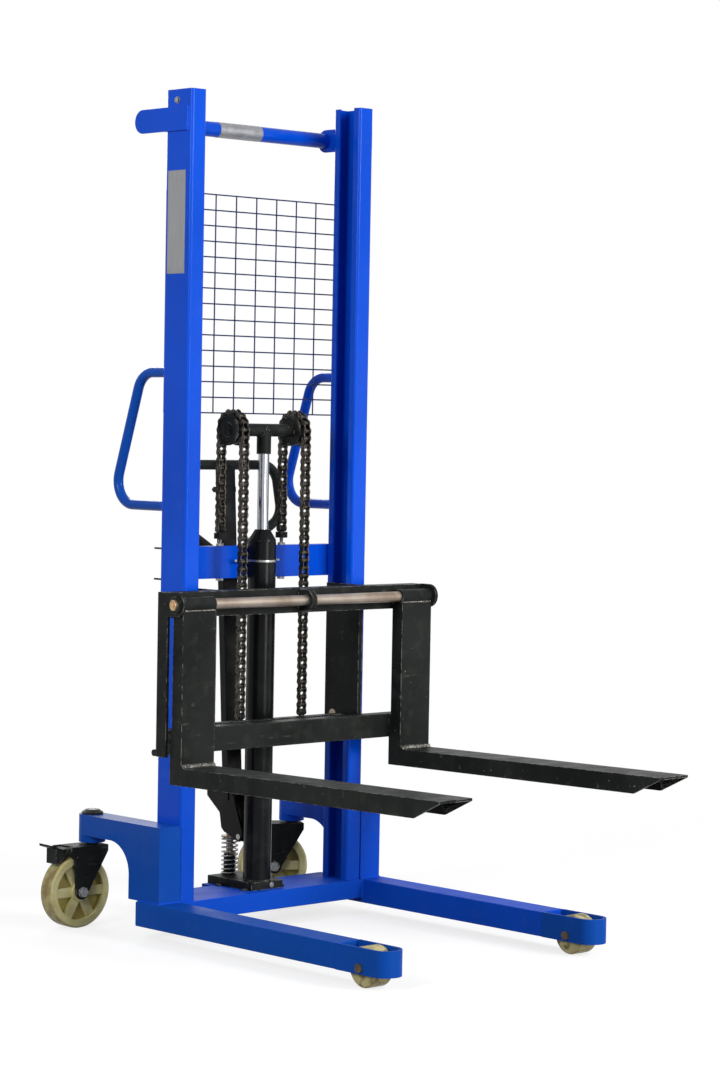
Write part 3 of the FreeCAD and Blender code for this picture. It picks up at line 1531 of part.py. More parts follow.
def tiller_loop():
    """A bent tube: slanted sides from the arm, two bends on each side and a straight top bar."""
    left = [
        (-S.loop_foot_half_width, S.loop_foot),
        (-S.loop_spread, S.loop_waist),
        (-S.loop_shoulder, S.loop_top),
    ]
    right = [(-x, z) for x, z in reversed(left)]
    points = [FreeCAD.Vector(x.value, S.tiller_offset.value, z.value) for x, z in left + right]
    path = rounded_wire(points, S.loop_corner.value)
    bore = swept(path, (S.loop_radius - S.loop_wall).value)
    bent = made("loop_tube", swept(path, S.loop_radius.value).cut(bore))
    seat = arm_block("loop_seat", S.tiller_foot, lever_height, 0)
    keep(at_pivot(cut("tiller_loop", bent, [seat])), "tiller_loop")


def release_lever():
    """A cross grip behind the arm on two side plates and a pin."""
    inner = S.tiller_width / 2 + S.seat_gap
    outer = inner + S.lever_plate
    pin = rod("lever_pin", (-outer, S.tiller_offset, lever_height), "+X", S.lever_pin_radius, outer * 2)
    grip = rod("lever_grip", (-S.lever_half_width, S.tiller_offset + S.lever_reach, lever_height), "+X",
               S.lever_radius, S.lever_half_width * 2)
    plates = [box(f"lever_plate_{SIDE_NAMES[side]}",
                  (low_x(side, inner, S.lever_plate), S.tiller_offset - S.lever_half_depth,
                   lever_height - S.lever_half_depth),
                  (S.lever_plate, S.lever_half_depth + S.lever_reach, S.lever_half_depth * 2))
              for side in (LEFT, RIGHT)]
    keep(at_pivot(fuse("release_lever", [pin, grip] + plates)), "release_lever")


def press_roller():
    bore = S.press_pin_radius + S.running_gap
    half = S.press_roller_width / 2
    corners = [(bore, -half), (S.press_roller_radius, -half), (S.press_roller_radius, half), (bore, half)]
    roller = place(turned("press_roller", corners), (0, press_reach, press_height), AXIS_TURNS["+X"])
    keep(roller, "press_roller")


tiller_arm()
tiller_loop()
release_lever()
press_roller()


# Fasteners on the frame: lug bolts, hook pins, chain rod nuts and the pump block's plug and foot bolts

def frame_fasteners():
    pieces = list(anchor_nuts)
    hook_low = S.crossbar_bottom + S.hook_pin_radius
    for side in (LEFT, RIGHT):
        name = SIDE_NAMES[side]
        pieces.append(rod(f"lug_bolt_{name}",
                          (signed(side, half_mast), S.tie_bolt_reach, tie_axis + S.tie_bolt_height),
                          OUTWARD[side], S.bolt_head_radius, S.bolt_head))
        hook_x = signed(side, half_mast - S.hook_pin_inset)
        for level, height in (("low", hook_low), ("high", hook_low + S.hook_pin_spread)):
            pieces.append(rod(f"hook_pin_{name}_{level}", (hook_x, S.post_depth, height), "+Y",
                              S.hook_pin_radius, S.hook_pin_length))
        foot_x = signed(side, S.block_half_width + S.foot_bolt_gap)
        foot_reaches = {"front": S.block_front + S.foot_bolt_inset, "rear": S.beam_rear - S.foot_bolt_inset}
        for end, reach in foot_reaches.items():
            pieces.append(rod(f"foot_bolt_{name}_{end}", (foot_x, reach, S.base_top), "+Z",
                              S.bolt_head_radius, S.bolt_head))
    plug = S.bolt_head / 2
    plug_height = S.base_top + S.block_height / 2
    pieces.append(rod("block_plug", (S.block_plug_place, S.block_front - plug, plug_height), "+Y",
                      S.bolt_head_radius, plug))
    keep(group("frame_fasteners", pieces), "frame_fasteners")


frame_fasteners()


# Every object is checked before any file is written
doc.recompute()
faulty = [piece.Label for piece in doc.Objects if {"Invalid", "Error"} & set(piece.State)]
faulty += [piece.Label for piece in parts if piece.Shape.isNull() or not piece.Shape.isValid()]
if faulty:
    raise RuntimeError(f"pieces with a faulty shape: {faulty}")
os.makedirs("parts", exist_ok=True)
for piece in parts:
    piece.Shape.exportStep(f"parts/{piece.Label}.step")
print(len(parts), "sub-parts written")
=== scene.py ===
import json
import math

import bmesh
import bpy
import numpy as np
from mathutils import Matrix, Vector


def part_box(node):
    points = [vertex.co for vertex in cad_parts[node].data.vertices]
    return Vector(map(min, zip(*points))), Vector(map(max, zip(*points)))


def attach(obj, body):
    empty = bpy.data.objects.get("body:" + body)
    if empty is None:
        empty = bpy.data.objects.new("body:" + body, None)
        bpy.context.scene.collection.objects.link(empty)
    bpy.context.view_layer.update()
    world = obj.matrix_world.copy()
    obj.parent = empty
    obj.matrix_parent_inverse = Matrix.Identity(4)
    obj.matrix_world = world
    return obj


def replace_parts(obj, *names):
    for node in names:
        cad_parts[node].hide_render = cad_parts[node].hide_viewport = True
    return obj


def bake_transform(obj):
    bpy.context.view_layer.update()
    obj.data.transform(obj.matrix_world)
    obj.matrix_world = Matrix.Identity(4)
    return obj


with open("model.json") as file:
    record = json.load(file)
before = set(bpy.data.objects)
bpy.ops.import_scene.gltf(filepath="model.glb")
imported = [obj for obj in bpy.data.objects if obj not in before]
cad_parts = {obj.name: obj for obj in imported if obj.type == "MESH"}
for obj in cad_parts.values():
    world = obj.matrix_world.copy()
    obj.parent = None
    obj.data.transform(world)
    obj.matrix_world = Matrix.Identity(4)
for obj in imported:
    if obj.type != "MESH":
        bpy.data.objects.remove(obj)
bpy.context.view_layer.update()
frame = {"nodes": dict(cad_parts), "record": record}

MM = 0.001
LEFT, RIGHT = -1, 1
SIDE_NAMES = {LEFT: "left", RIGHT: "right"}
RECORD = frame["record"]
BODY_OF = {node: body for body, nodes in RECORD["behaviour"]["bodies"].items() for node in nodes}
SLOT_OF = {part["node"]: part["material_slot"] for part in RECORD["subparts"]}
JOINTS = {joint["name"]: joint for joint in RECORD["behaviour"]["joints"]}


# Finishes

class Finish:
    """A material whose shader is fed by patterns on the piece's own Object coordinates."""

    def __init__(self, name, constants):
        self.material = bpy.data.materials.new(name)
        self.material.use_nodes = True
        self.tree = self.material.node_tree
        self.shader = self.tree.nodes["Principled BSDF"]
        self.place = self.node("ShaderNodeTexCoord").outputs["Object"]
        self.height = self.node("ShaderNodeSeparateXYZ", {"Vector": self.place}).outputs["Z"]
        for socket, value in constants.items():
            self.shader.inputs[socket].default_value = value

    def node(self, kind, inputs=None, **settings):
        """A new node with its settings, and each input linked to a socket or set to a value."""
        node = self.tree.nodes.new(kind)
        for key, value in settings.items():
            setattr(node, key, value)
        for socket, value in (inputs or {}).items():
            if isinstance(value, bpy.types.NodeSocket):
                self.tree.links.new(value, node.inputs[socket])
            else:
                node.inputs[socket].default_value = value
        return node

    def grain(self, scale, detail=4, stretch=(1, 1, 1)):
        """Noise with cells about one over scale metres wide, denser along an axis with a larger stretch."""
        mapping = self.node("ShaderNodeMapping", {"Vector": self.place, "Scale": stretch})
        noise = self.node("ShaderNodeTexNoise",
                          {"Vector": mapping.outputs["Vector"], "Scale": scale, "Detail": detail})
        return noise.outputs["Fac"]

    def between(self, value, low, high, start=0.0, end=1.0):
        """The value's stretch from low to high spread over start to end, level outside it."""
        spread = self.node("ShaderNodeMapRange", {"Value": value, "From Min": low, "From Max": high,
                                                  "To Min": start, "To Max": end})
        return spread.outputs["Result"]

    def number(self, operation, *values):
        return self.node("ShaderNodeMath", dict(enumerate(values)), operation=operation).outputs["Value"]

    def vector(self, operation, *vectors, output="Vector"):
        node = self.node("ShaderNodeVectorMath", dict(enumerate(vectors)), operation=operation)
        return node.outputs[output]

    def times(self, first, second):
        return self.number("MULTIPLY", first, second)

    def mixed(self, share, first, second):
        """One colour turning into another as share goes from 0 to 1."""
        colours = [c if isinstance(c, bpy.types.NodeSocket) else (*c, 1) for c in (first, second)]
        mix = self.node("ShaderNodeMix", {0: share, 6: colours[0], 7: colours[1]}, data_type="RGBA")
        return mix.outputs[2]

    def edges(self, radius):
        """1 along sharp edges and 0 on open faces, from how far a rounded normal leans off the true one."""
        rounded = self.node("ShaderNodeBevel", {"Radius": radius}, samples=4).outputs["Normal"]
        true = self.node("ShaderNodeNewGeometry").outputs["Normal"]
        return self.between(self.vector("DOT_PRODUCT", rounded, true, output="Value"), 0.99, 0.85)

    def feed(self, socket, value):
        self.tree.links.new(value, self.shader.inputs[socket])

    def bump(self, height, strength, distance):
        relief = self.node("ShaderNodeBump", {"Height": height, "Strength": strength, "Distance": distance})
        self.feed("Normal", relief.outputs["Normal"])


WORN_EDGE, RUBBED_AND_HIGHLIGHT_EDGE = 2.5 * MM, 1.2 * MM


def blue_gloss_paint(name, dark, light):
    """Sprayed gloss: broad changes from a dark to a light shade, fine orange peel, painted shade that darkens
    the colour in blotches low down towards the floor, gloss dulled low down, a little dust and dark wear on
    knocked edges."""
    paint = Finish(name, {"Specular IOR Level": 0.1})
    shade = paint.between(paint.grain(2.4, 3), 0.35, 0.65)
    colour = paint.mixed(shade, dark, light)
    # Painted shade: the colour darkens in blotches from half a metre down to the floor.
    low_painted_shade = paint.times(paint.between(paint.height, 0.50, 0.04, 0.0, 0.30),
                       paint.between(paint.grain(6, 6), 0.35, 0.65, 0.55, 1.0))
    colour = paint.mixed(low_painted_shade, colour, (0.003, 0.050, 0.23))
    dust = paint.between(paint.grain(24, 8), 0.58, 0.82, 0.0, 0.08)
    colour = paint.mixed(dust, colour, (0.12, 0.20, 0.46))
    chips = paint.times(paint.edges(WORN_EDGE), paint.between(paint.grain(75, 6), 0.57, 0.66, 0.0, 0.7))
    colour = paint.mixed(chips, colour, (0.05, 0.09, 0.26))
    paint.feed("Base Color", colour)
    gloss = paint.between(paint.grain(17, 6), 0.3, 0.7, 0.13, 0.25)
    dulled = paint.between(paint.height, 0.30, 0.14, 0.0, 0.35)
    paint.feed("Roughness", paint.number("ADD", gloss, dulled))
    paint.bump(paint.grain(380, 2), 0.05, 0.4 * MM)
    return paint.material


def shaded_wire_paint():
    """Thin blue coat on drawn wire, painted dark as the shade of wires lit from behind, with rubbed grey
    spots.
    """
    paint = Finish("shaded_wire_paint", {"Specular IOR Level": 0.15})
    rubbed_and_highlight = paint.between(paint.grain(60, 6), 0.54, 0.74, 0.0, 0.5)
    # Painted shade: the wire's blue is darkened to stand in for wires lit from behind.
    paint.feed("Base Color", paint.mixed(rubbed_and_highlight, (0.004, 0.018, 0.10), (0.03, 0.05, 0.13)))
    paint.feed("Roughness", paint.between(paint.grain(40, 5), 0.3, 0.7, 0.30, 0.50))
    paint.bump(paint.grain(500, 3), 0.08, 0.2 * MM)
    return paint.material


def black_semigloss_paint():
    """Brushed black paint: cloudy grey dust, long scuffs, a few chips and bare steel along worn edges."""
    paint = Finish("black_semigloss_paint", {"Specular IOR Level": 0.07})
    shade = paint.between(paint.grain(6, 4), 0.35, 0.65)
    colour = paint.mixed(shade, (0.008, 0.0093, 0.0087), (0.0175, 0.0198, 0.0185))
    dust = paint.between(paint.grain(31, 9), 0.52, 0.80, 0.0, 0.30)
    colour = paint.mixed(dust, colour, (0.062, 0.065, 0.055))
    scuffs = paint.between(paint.grain(46, 7, (0.25, 1, 1)), 0.65, 0.72, 0.0, 0.50)
    colour = paint.mixed(scuffs, colour, (0.10, 0.10, 0.09))
    chips = paint.between(paint.grain(105, 3), 0.735, 0.765, 0.0, 0.8)
    colour = paint.mixed(chips, colour, (0.30, 0.29, 0.26))
    worn = paint.times(paint.edges(WORN_EDGE), paint.between(paint.grain(58, 6), 0.45, 0.57))
    colour = paint.mixed(worn, colour, (0.34, 0.33, 0.30))
    paint.feed("Base Color", colour)
    paint.feed("Roughness", paint.between(paint.grain(21, 7), 0.3, 0.7, 0.36, 0.56))
    paint.bump(paint.grain(160, 5), 0.12, 0.5 * MM)
    return paint.material


def black_gloss_paint():
    """Glossy black on the cylinder, gland and tiller, with soft handling marks."""
    paint = Finish("black_gloss_paint", {"Specular IOR Level": 0.1})
    marks = paint.between(paint.grain(19, 7), 0.50, 0.80, 0.0, 0.35)
    paint.feed("Base Color", paint.mixed(marks, (0.0065, 0.007, 0.0075), (0.045, 0.046, 0.045)))
    paint.feed("Roughness", paint.between(paint.grain(28, 6), 0.3, 0.7, 0.15, 0.30))
    paint.bump(paint.grain(240, 3), 0.06, 0.3 * MM)
    return paint.material


def oiled_chain_steel():
    """Dark oily steel with brown and straw tints, brighter along the plate edges: partly rubbed wear, partly a
    painted highlight.
    """
    steel = Finish("oiled_chain_steel", {"Metallic": 0.8})
    tint = steel.between(steel.grain(85, 6), 0.36, 0.64)
    colour = steel.mixed(tint, (0.012, 0.0115, 0.0105), (0.075, 0.066, 0.054))
    # Partly rubbed wear, partly painted highlight: pale steel along the plates' edges.
    rubbed_and_highlight = steel.times(steel.edges(RUBBED_AND_HIGHLIGHT_EDGE), steel.between(steel.grain(130, 4), 0.42, 0.60))
    colour = steel.mixed(rubbed_and_highlight, colour, (0.44, 0.40, 0.34))
    steel.feed("Base Color", colour)
    steel.feed("Roughness", steel.between(steel.grain(140, 5), 0.3, 0.7, 0.22, 0.44))
    steel.bump(steel.grain(600, 3), 0.15, 0.2 * MM)
    return steel.material


def chrome_rod():
    """Ground and plated rod: bright, with soft streaks along it and the finest of rings round it."""
    chrome = Finish("chrome_rod", {"Metallic": 1.0})
    streaks = chrome.grain(120, 4, (1, 1, 0.03))
    rings = chrome.grain(60, 3, (0.3, 0.3, 22))
    colour = chrome.mixed(chrome.between(streaks, 0.35, 0.65), (0.34, 0.35, 0.36), (0.50, 0.51, 0.52))
    chrome.feed("Base Color", colour)
    chrome.feed("Roughness", chrome.between(streaks, 0.3, 0.7, 0.06, 0.16))
    chrome.bump(rings, 0.02, 0.1 * MM)
    return chrome.material


def bare_turned_steel():
    """Unpainted turned steel with a thin brown bloom of rust and tool rings across the x axis."""
    steel = Finish("bare_turned_steel", {"Metallic": 0.8})
    rings = steel.grain(40, 4, (14, 0.4, 0.4))
    bloom = steel.between(steel.grain(13, 8), 0.38, 0.62)
    colour = steel.mixed(bloom, (0.36, 0.305, 0.255), (0.235, 0.175, 0.13))
    colour = steel.mixed(steel.between(rings, 0.45, 0.75, 0.0, 0.35), colour, (0.45, 0.40, 0.36))
    steel.feed("Base Color", colour)
    steel.feed("Roughness", steel.between(rings, 0.3, 0.7, 0.30, 0.48))
    steel.bump(rings, 0.12, 0.2 * MM)
    return steel.material


def zinc_plate():
    """Zinc plating: pale grey with cloudy spangle and darker handling marks."""
    zinc = Finish("zinc_plate", {"Metallic": 0.9})
    spangle = zinc.between(zinc.grain(190, 5), 0.35, 0.65)
    colour = zinc.mixed(spangle, (0.25, 0.25, 0.24), (0.38, 0.38, 0.37))
    marks = zinc.between(zinc.grain(42, 7), 0.58, 0.76, 0.0, 0.6)
    colour = zinc.mixed(marks, colour, (0.09, 0.082, 0.07))
    zinc.feed("Base Color", colour)
    zinc.feed("Roughness", zinc.between(zinc.grain(110, 5), 0.3, 0.7, 0.24, 0.44))
    zinc.bump(zinc.grain(420, 3), 0.08, 0.2 * MM)
    return zinc.material


def brass_washer():
    """Yellow passivated steel, dulled in patches."""
    brass = Finish("brass_washer", {"Metallic": 0.9})
    dull = brass.between(brass.grain(120, 6), 0.38, 0.64)
    brass.feed("Base Color", brass.mixed(dull, (0.66, 0.45, 0.25), (0.40, 0.25, 0.12)))
    brass.feed("Roughness", brass.between(dull, 0.0, 1.0, 0.28, 0.52))
    brass.bump(brass.grain(350, 3), 0.1, 0.2 * MM)
    return brass.material


def rusty_steel():
    """Steel heads gone brown with rust, darker in the pits."""
    rust = Finish("rusty_steel", {"Metallic": 0.35})
    pits = rust.between(rust.grain(95, 8), 0.36, 0.66)
    rust.feed("Base Color", rust.mixed(pits, (0.036, 0.028, 0.022), (0.15, 0.10, 0.065)))
    rust.feed("Roughness", rust.between(pits, 0.0, 1.0, 0.52, 0.80))
    rust.bump(rust.grain(260, 6), 0.3, 0.4 * MM)
    return rust.material


WEB_DEEP, WEB_SHALLOW = 8 * MM, 17 * MM
WEB_REACH, RIM_REACH = 69 * MM, 75 * MM
TREAD_EDGE, TREAD_REACH = 85.5 * MM, 89.5 * MM


def wheel_nylon(name, middle, axle):
    """Cream moulded nylon of a wheel about its axle: darker and yellower on the sunk web, where the distance
    along the axle is small, and with brown floor dirt rolled into the tread, where the distance from the axle
    is largest."""
    nylon = Finish(name, {"Subsurface Weight": 0.08, "Subsurface Scale": 4 * MM, "Specular IOR Level": 0.25})
    patches = nylon.between(nylon.grain(14, 4), 0.35, 0.65)
    colour = nylon.mixed(patches, (0.50, 0.455, 0.185), (0.63, 0.59, 0.31))
    offset = nylon.vector("SUBTRACT", nylon.place, middle)
    depth = nylon.number("ABSOLUTE", nylon.vector("DOT_PRODUCT", offset, axle, output="Value"))
    reach = nylon.vector("LENGTH", nylon.vector("CROSS_PRODUCT", offset, axle), output="Value")
    web = nylon.times(nylon.between(depth, WEB_SHALLOW, WEB_DEEP),
                      nylon.between(reach, RIM_REACH, WEB_REACH, 0.0, 0.85))
    colour = nylon.mixed(web, colour, (0.37, 0.30, 0.065))
    smear = nylon.between(nylon.grain(26, 9), 0.50, 0.76, 0.0, 0.45)
    colour = nylon.mixed(smear, colour, (0.24, 0.165, 0.07))
    tread = nylon.times(nylon.between(reach, TREAD_EDGE, TREAD_REACH),
                        nylon.between(nylon.grain(34, 8), 0.38, 0.62, 0.20, 0.85))
    colour = nylon.mixed(tread, colour, (0.19, 0.125, 0.038))
    specks = nylon.between(nylon.grain(210, 5), 0.66, 0.74, 0.0, 0.5)
    nylon.feed("Base Color", nylon.mixed(specks, colour, (0.10, 0.07, 0.04)))
    nylon.feed("Roughness", nylon.between(nylon.grain(60, 6), 0.3, 0.7, 0.34, 0.58))
    nylon.bump(nylon.grain(240, 6), 0.12, 0.3 * MM)
    return nylon.material


def worn_nylon():
    """Cream nylon of the load rollers, greyed by the floor and stained brown."""
    nylon = Finish("worn_nylon", {"Subsurface Weight": 0.05, "Subsurface Scale": 3 * MM,
                                  "Specular IOR Level": 0.25})
    patches = nylon.between(nylon.grain(18, 5), 0.35, 0.65)
    colour = nylon.mixed(patches, (0.42, 0.36, 0.17), (0.60, 0.54, 0.28))
    scuffs = nylon.between(nylon.grain(40, 9), 0.50, 0.64, 0.0, 0.85)
    nylon.feed("Base Color", nylon.mixed(scuffs, colour, (0.11, 0.075, 0.035)))
    nylon.feed("Roughness", nylon.between(nylon.grain(60, 6), 0.3, 0.7, 0.36, 0.60))
    nylon.bump(nylon.grain(240, 6), 0.12, 0.3 * MM)
    return nylon.material


def black_moulded_plastic():
    """Shiny moulded cap with fine handling marks."""
    plastic = Finish("black_moulded_plastic", {"Specular IOR Level": 0.18})
    marks = plastic.between(plastic.grain(70, 7), 0.50, 0.76, 0.0, 0.5)
    plastic.feed("Base Color", plastic.mixed(marks, (0.008, 0.008, 0.008), (0.045, 0.044, 0.042)))
    plastic.feed("Roughness", plastic.between(plastic.grain(40, 6), 0.3, 0.7, 0.22, 0.44))
    plastic.bump(plastic.grain(500, 2), 0.06, 0.2 * MM)
    return plastic.material


def matt_rubber():
    """Matt black rubber with grey chalking."""
    rubber = Finish("matt_rubber", {"Specular IOR Level": 0.15})
    chalk = rubber.between(rubber.grain(45, 7), 0.45, 0.75, 0.0, 0.6)
    rubber.feed("Base Color", rubber.mixed(chalk, (0.011, 0.011, 0.011), (0.050, 0.049, 0.046)))
    rubber.feed("Roughness", rubber.between(rubber.grain(90, 5), 0.3, 0.7, 0.60, 0.82))
    rubber.bump(rubber.grain(300, 4), 0.2, 0.3 * MM)
    return rubber.material


def weld_metal():
    """Bare weld metal, grey with brown heat tint and bright spatter grains, which also serve as painted
    glints.
    """
    weld = Finish("weld_metal", {"Metallic": 0.6})
    heat = weld.between(weld.grain(60, 6), 0.38, 0.64)
    colour = weld.mixed(heat, (0.055, 0.055, 0.052), (0.16, 0.145, 0.12))
    # Partly real spatter, partly painted glints: small pale grains on the bead.
    spatter_and_glints = weld.between(weld.grain(260, 3), 0.55, 0.64)
    weld.feed("Base Color", weld.mixed(spatter_and_glints, colour, (0.58, 0.57, 0.54)))
    weld.feed("Roughness", weld.between(weld.grain(150, 5), 0.3, 0.7, 0.40, 0.65))
    weld.bump(weld.grain(330, 5), 0.35, 0.4 * MM)
    return weld.material


def silver_foil():
    """A bare plate of satin aluminium, brushed along z with a few smudges."""
    foil = Finish("silver_foil", {"Metallic": 0.55, "Specular IOR Level": 0.4})
    brushing = foil.grain(70, 5, (1, 9, 0.12))
    colour = foil.mixed(foil.between(brushing, 0.35, 0.65), (0.25, 0.255, 0.265), (0.33, 0.335, 0.35))
    smudges = foil.between(foil.grain(22, 6), 0.56, 0.74, 0.0, 0.4)
    foil.feed("Base Color", foil.mixed(smudges, colour, (0.18, 0.18, 0.18)))
    foil.feed("Roughness", foil.between(brushing, 0.3, 0.7, 0.30, 0.46))
    foil.bump(brushing, 0.05, 0.1 * MM)
    return foil.material


BLUE = blue_gloss_paint("blue_gloss_paint", (0.0015, 0.070, 0.60), (0.002, 0.086, 0.72))
# A darker copy of the blue paint: painted shade on the left leg, caster arm and push handle and on the roller
# straps.
SHADED_BLUE = blue_gloss_paint("shaded_blue_paint", (0.0015, 0.066, 0.40), (0.002, 0.080, 0.48))
# The screen's wire paint, darkened as painted shade.
SHADED_WIRE_BLUE = shaded_wire_paint()
BLACK = black_semigloss_paint()
BLACK_GLOSS = black_gloss_paint()
CHAIN = oiled_chain_steel()
CHROME = chrome_rod()
STEEL = bare_turned_steel()
ZINC = zinc_plate()
BRASS = brass_washer()
RUST = rusty_steel()
WORN_NYLON = worn_nylon()
CASTER_AXLES = {name: JOINTS[f"caster_{name}_roll"] for name in SIDE_NAMES.values()}
WHEEL_NYLON = {f"caster_wheel_{name}": wheel_nylon(f"wheel_nylon_{name}", axle["pos_m"], axle["axis"])
               for name, axle in CASTER_AXLES.items()}
PLASTIC = black_moulded_plastic()
RUBBER = matt_rubber()
WELD = weld_metal()
FOIL = silver_foil()

FINISH_OF_SLOT = {"blue_paint": BLUE, "black_paint": BLACK, "black_plastic": PLASTIC, "rubber": RUBBER,
                  "chain_steel": CHAIN, "chrome": CHROME, "bare_steel": STEEL, "zinc": ZINC,
                  "nylon": WORN_NYLON}
OWN_FINISH = {"roller_axles": RUST, "shaft_retainers": BLACK, "press_roller": ZINC, "tiller_pivot_pin": ZINC,
              "cylinder_tube": BLACK_GLOSS, "cylinder_gland": BLACK_GLOSS, "tiller_arm": BLACK_GLOSS,
              # Painted shade: the darker blue copy on the roller straps and on the left leg, caster arm and
              # push handle.
              "chain_pulley_left": BLACK, "chain_pulley_right": BLACK, "roller_straps": SHADED_BLUE,
              "push_handle_left": SHADED_BLUE, "straddle_leg_left": SHADED_BLUE, "caster_arm_left": SHADED_BLUE,
              **WHEEL_NYLON}


def finish_of(node):
    return OWN_FINISH.get(node, FINISH_OF_SLOT[SLOT_OF[node]])


for node, part in frame["nodes"].items():
    part.data.materials.clear()
    part.data.materials.append(finish_of(node))


# Mesh helpers

def box_of(node):
    low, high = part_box(node)
    return np.array(low, dtype=float), np.array(high, dtype=float)


SMOOTH_DEGREES = 40


def new_piece(name, shape, finish, body=None):
    """Puts computed points and faces into a mesh object at the origin, with its faces turned outwards."""
    points, faces = shape
    mesh = bpy.data.meshes.new(name)
    mesh.from_pydata(np.asarray(points).tolist(), [], faces)
    skin = bmesh.new()
    skin.from_mesh(mesh)
    bmesh.ops.recalc_face_normals(skin, faces=skin.faces)
    skin.to_mesh(mesh)
    skin.free()
    mesh.shade_smooth()
    mesh.set_sharp_from_angle(angle=math.radians(SMOOTH_DEGREES))
    mesh.materials.append(finish)
    piece = bpy.data.objects.new(name, mesh)
    bpy.context.scene.collection.objects.link(piece)
    if body:
        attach(piece, body)
    return piece


def joined(shapes):
    """Several (points, faces) shapes as one, each face's indices moved past the points before it."""
    points = np.vstack([shape_points for shape_points, _ in shapes])
    starts = np.cumsum([0] + [len(shape_points) for shape_points, _ in shapes[:-1]]).tolist()
    faces = [[i + start for i in face]
             for start, (_, shape_faces) in zip(starts, shapes) for face in shape_faces]
    return points, faces


def grid_faces(rows, columns):
    """Quads of a rows by columns grid of points, joined round in the column direction."""
    row, column = np.meshgrid(np.arange(rows - 1), np.arange(columns), indexing="ij")
    following = (column + 1) % columns
    quads = np.stack([row * columns + column, row * columns + following,
                      (row + 1) * columns + following, (row + 1) * columns + column], axis=-1)
    return quads.reshape(-1, 4).tolist()


def tube(path, radius, sides, closed=False):
    """A round profile carried along a path: each point of the path plus radius times the cosine and sine of
    the turn along two directions square to the path. An open tube has flat ends."""
    path = np.asarray(path, dtype=float)
    count = len(path)
    if closed:
        ways = np.roll(path, -1, axis=0) - np.roll(path, 1, axis=0)
    else:
        ways = np.gradient(path, axis=0)
    ways /= np.linalg.norm(ways, axis=1, keepdims=True)
    helper = np.eye(3)[np.argmin(np.abs(ways).max(axis=0))]
    side = np.cross(ways, helper)
    side /= np.linalg.norm(side, axis=1, keepdims=True)
    other = np.cross(ways, side)
    turn = np.linspace(0, 2 * math.pi, sides, endpoint=False)
    radii = np.broadcast_to(np.asarray(radius, dtype=float), (count,))[:, None, None]
    ring = np.cos(turn)[None, :, None] * side[:, None, :] + np.sin(turn)[None, :, None] * other[:, None, :]
    points = (path[:, None, :] + radii * ring).reshape(-1, 3)
    if closed:
        faces = grid_faces(count + 1, sides)
        return points, [[i % len(points) for i in face] for face in faces]
    faces = grid_faces(count, sides)
    faces.append(list(range(sides)))
    faces.append(list(range((count - 1) * sides, count * sides)))
    return points, faces


def straight(start, end, points=2):
    return np.linspace(np.asarray(start, dtype=float), np.asarray(end, dtype=float), points)


def extruded(outline, low, high):
    """A closed (y, z) outline carried along x from low to high, with flat ends."""
    outline = np.asarray(outline, dtype=float)
    count = len(outline)
    points = np.vstack([np.column_stack([np.full(count, x), outline]) for x in (low, high)])
    faces = grid_faces(2, count)
    faces.append(list(range(count)))
    faces.append(list(range(count, 2 * count)))
    return points, faces


def block(low, high):
    """A box between two corners."""
    (x0, y0, z0), (x1, y1, z1) = low, high
    return extruded([(y0, z0), (y1, z0), (y1, z1), (y0, z1)], x0, x1)


SHARP_DEGREES, FLAT_DEGREES = 35, 0.5
MERGE_DISTANCE = 0.01 * MM


def rounded_edges(piece, width, segments=2):
    bevel = piece.modifiers.new("rounded_edges", "BEVEL")
    bevel.width = width
    bevel.segments = segments
    bevel.limit_method = "ANGLE"
    bevel.angle_limit = math.radians(SHARP_DEGREES)
    bevel.harden_normals = True
    return piece


def softened(node, width):
    """A copy of a CAD node with its points merged, its flat triangles joined to faces and its edges
    rounded."""
    mesh = frame["nodes"][node].data.copy()
    mesh.name = f"{node}_soft"
    skin = bmesh.new()
    skin.from_mesh(mesh)
    bmesh.ops.remove_doubles(skin, verts=skin.verts, dist=MERGE_DISTANCE)
    bmesh.ops.dissolve_limit(skin, angle_limit=math.radians(FLAT_DEGREES), verts=skin.verts, edges=skin.edges)
    skin.to_mesh(mesh)
    skin.free()
    normals = mesh.attributes.get("custom_normal")
    if normals:
        mesh.attributes.remove(normals)
    mesh.shade_smooth()
    mesh.set_sharp_from_angle(angle=math.radians(SHARP_DEGREES))
    piece = bpy.data.objects.new(f"{node}_soft", mesh)
    bpy.context.scene.collection.objects.link(piece)
    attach(piece, BODY_OF[node])
    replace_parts(piece, node)
    return rounded_edges(piece, width)


# Folded plate, square tube and flame-cut plate with rounded edges
EDGE_WIDTHS = {
    "mid_crossbar": 2.5, "base_beam": 2.0, "straddle_leg_left": 3.0, "straddle_leg_right": 3.0,
    "roller_straps": 1.0, "tie_lugs": 1.2, "caster_arm_left": 2.0, "caster_arm_right": 2.0,
    "caster_fork_left": 1.0, "caster_fork_right": 1.0, "brake_pedal_left": 1.5, "brake_pedal_right": 1.5,
    "pump_block": 1.2, "lift_head": 1.2, "cylinder_gland": 0.8, "carriage_beam": 3.0, "carriage_bar": 3.0,
    "end_plates": 1.2, "chain_bar": 1.2, "fork_left": 1.2, "fork_right": 1.2, "pivot_ears": 1.0,
    "tiller_arm": 1.5,
}
SOFT = {node: softened(node, width * MM) for node, width in EDGE_WIDTHS.items()}

PULLEY_LOW, PULLEY_HIGH = box_of("chain_pulley_right")
PULLEY = (PULLEY_LOW + PULLEY_HIGH) / 2
PIN_START, PIN_SHARE = 83.1 * MM, 0.98


def slimmed_pulley_pins():
    """The lift head's points beyond its bar drawn towards the pins' axis, so that the flats of a turned
    pulley's bore stay clear of the flats of its pin."""
    mesh = SOFT["lift_head"].data
    points = np.empty(len(mesh.vertices) * 3)
    mesh.vertices.foreach_get("co", points)
    points = points.reshape(-1, 3)
    axis = PULLEY[1:]
    pins = np.abs(points[:, 0]) > PIN_START
    points[pins, 1:] = axis + (points[pins, 1:] - axis) * PIN_SHARE
    mesh.vertices.foreach_set("co", points.ravel())


slimmed_pulley_pins()


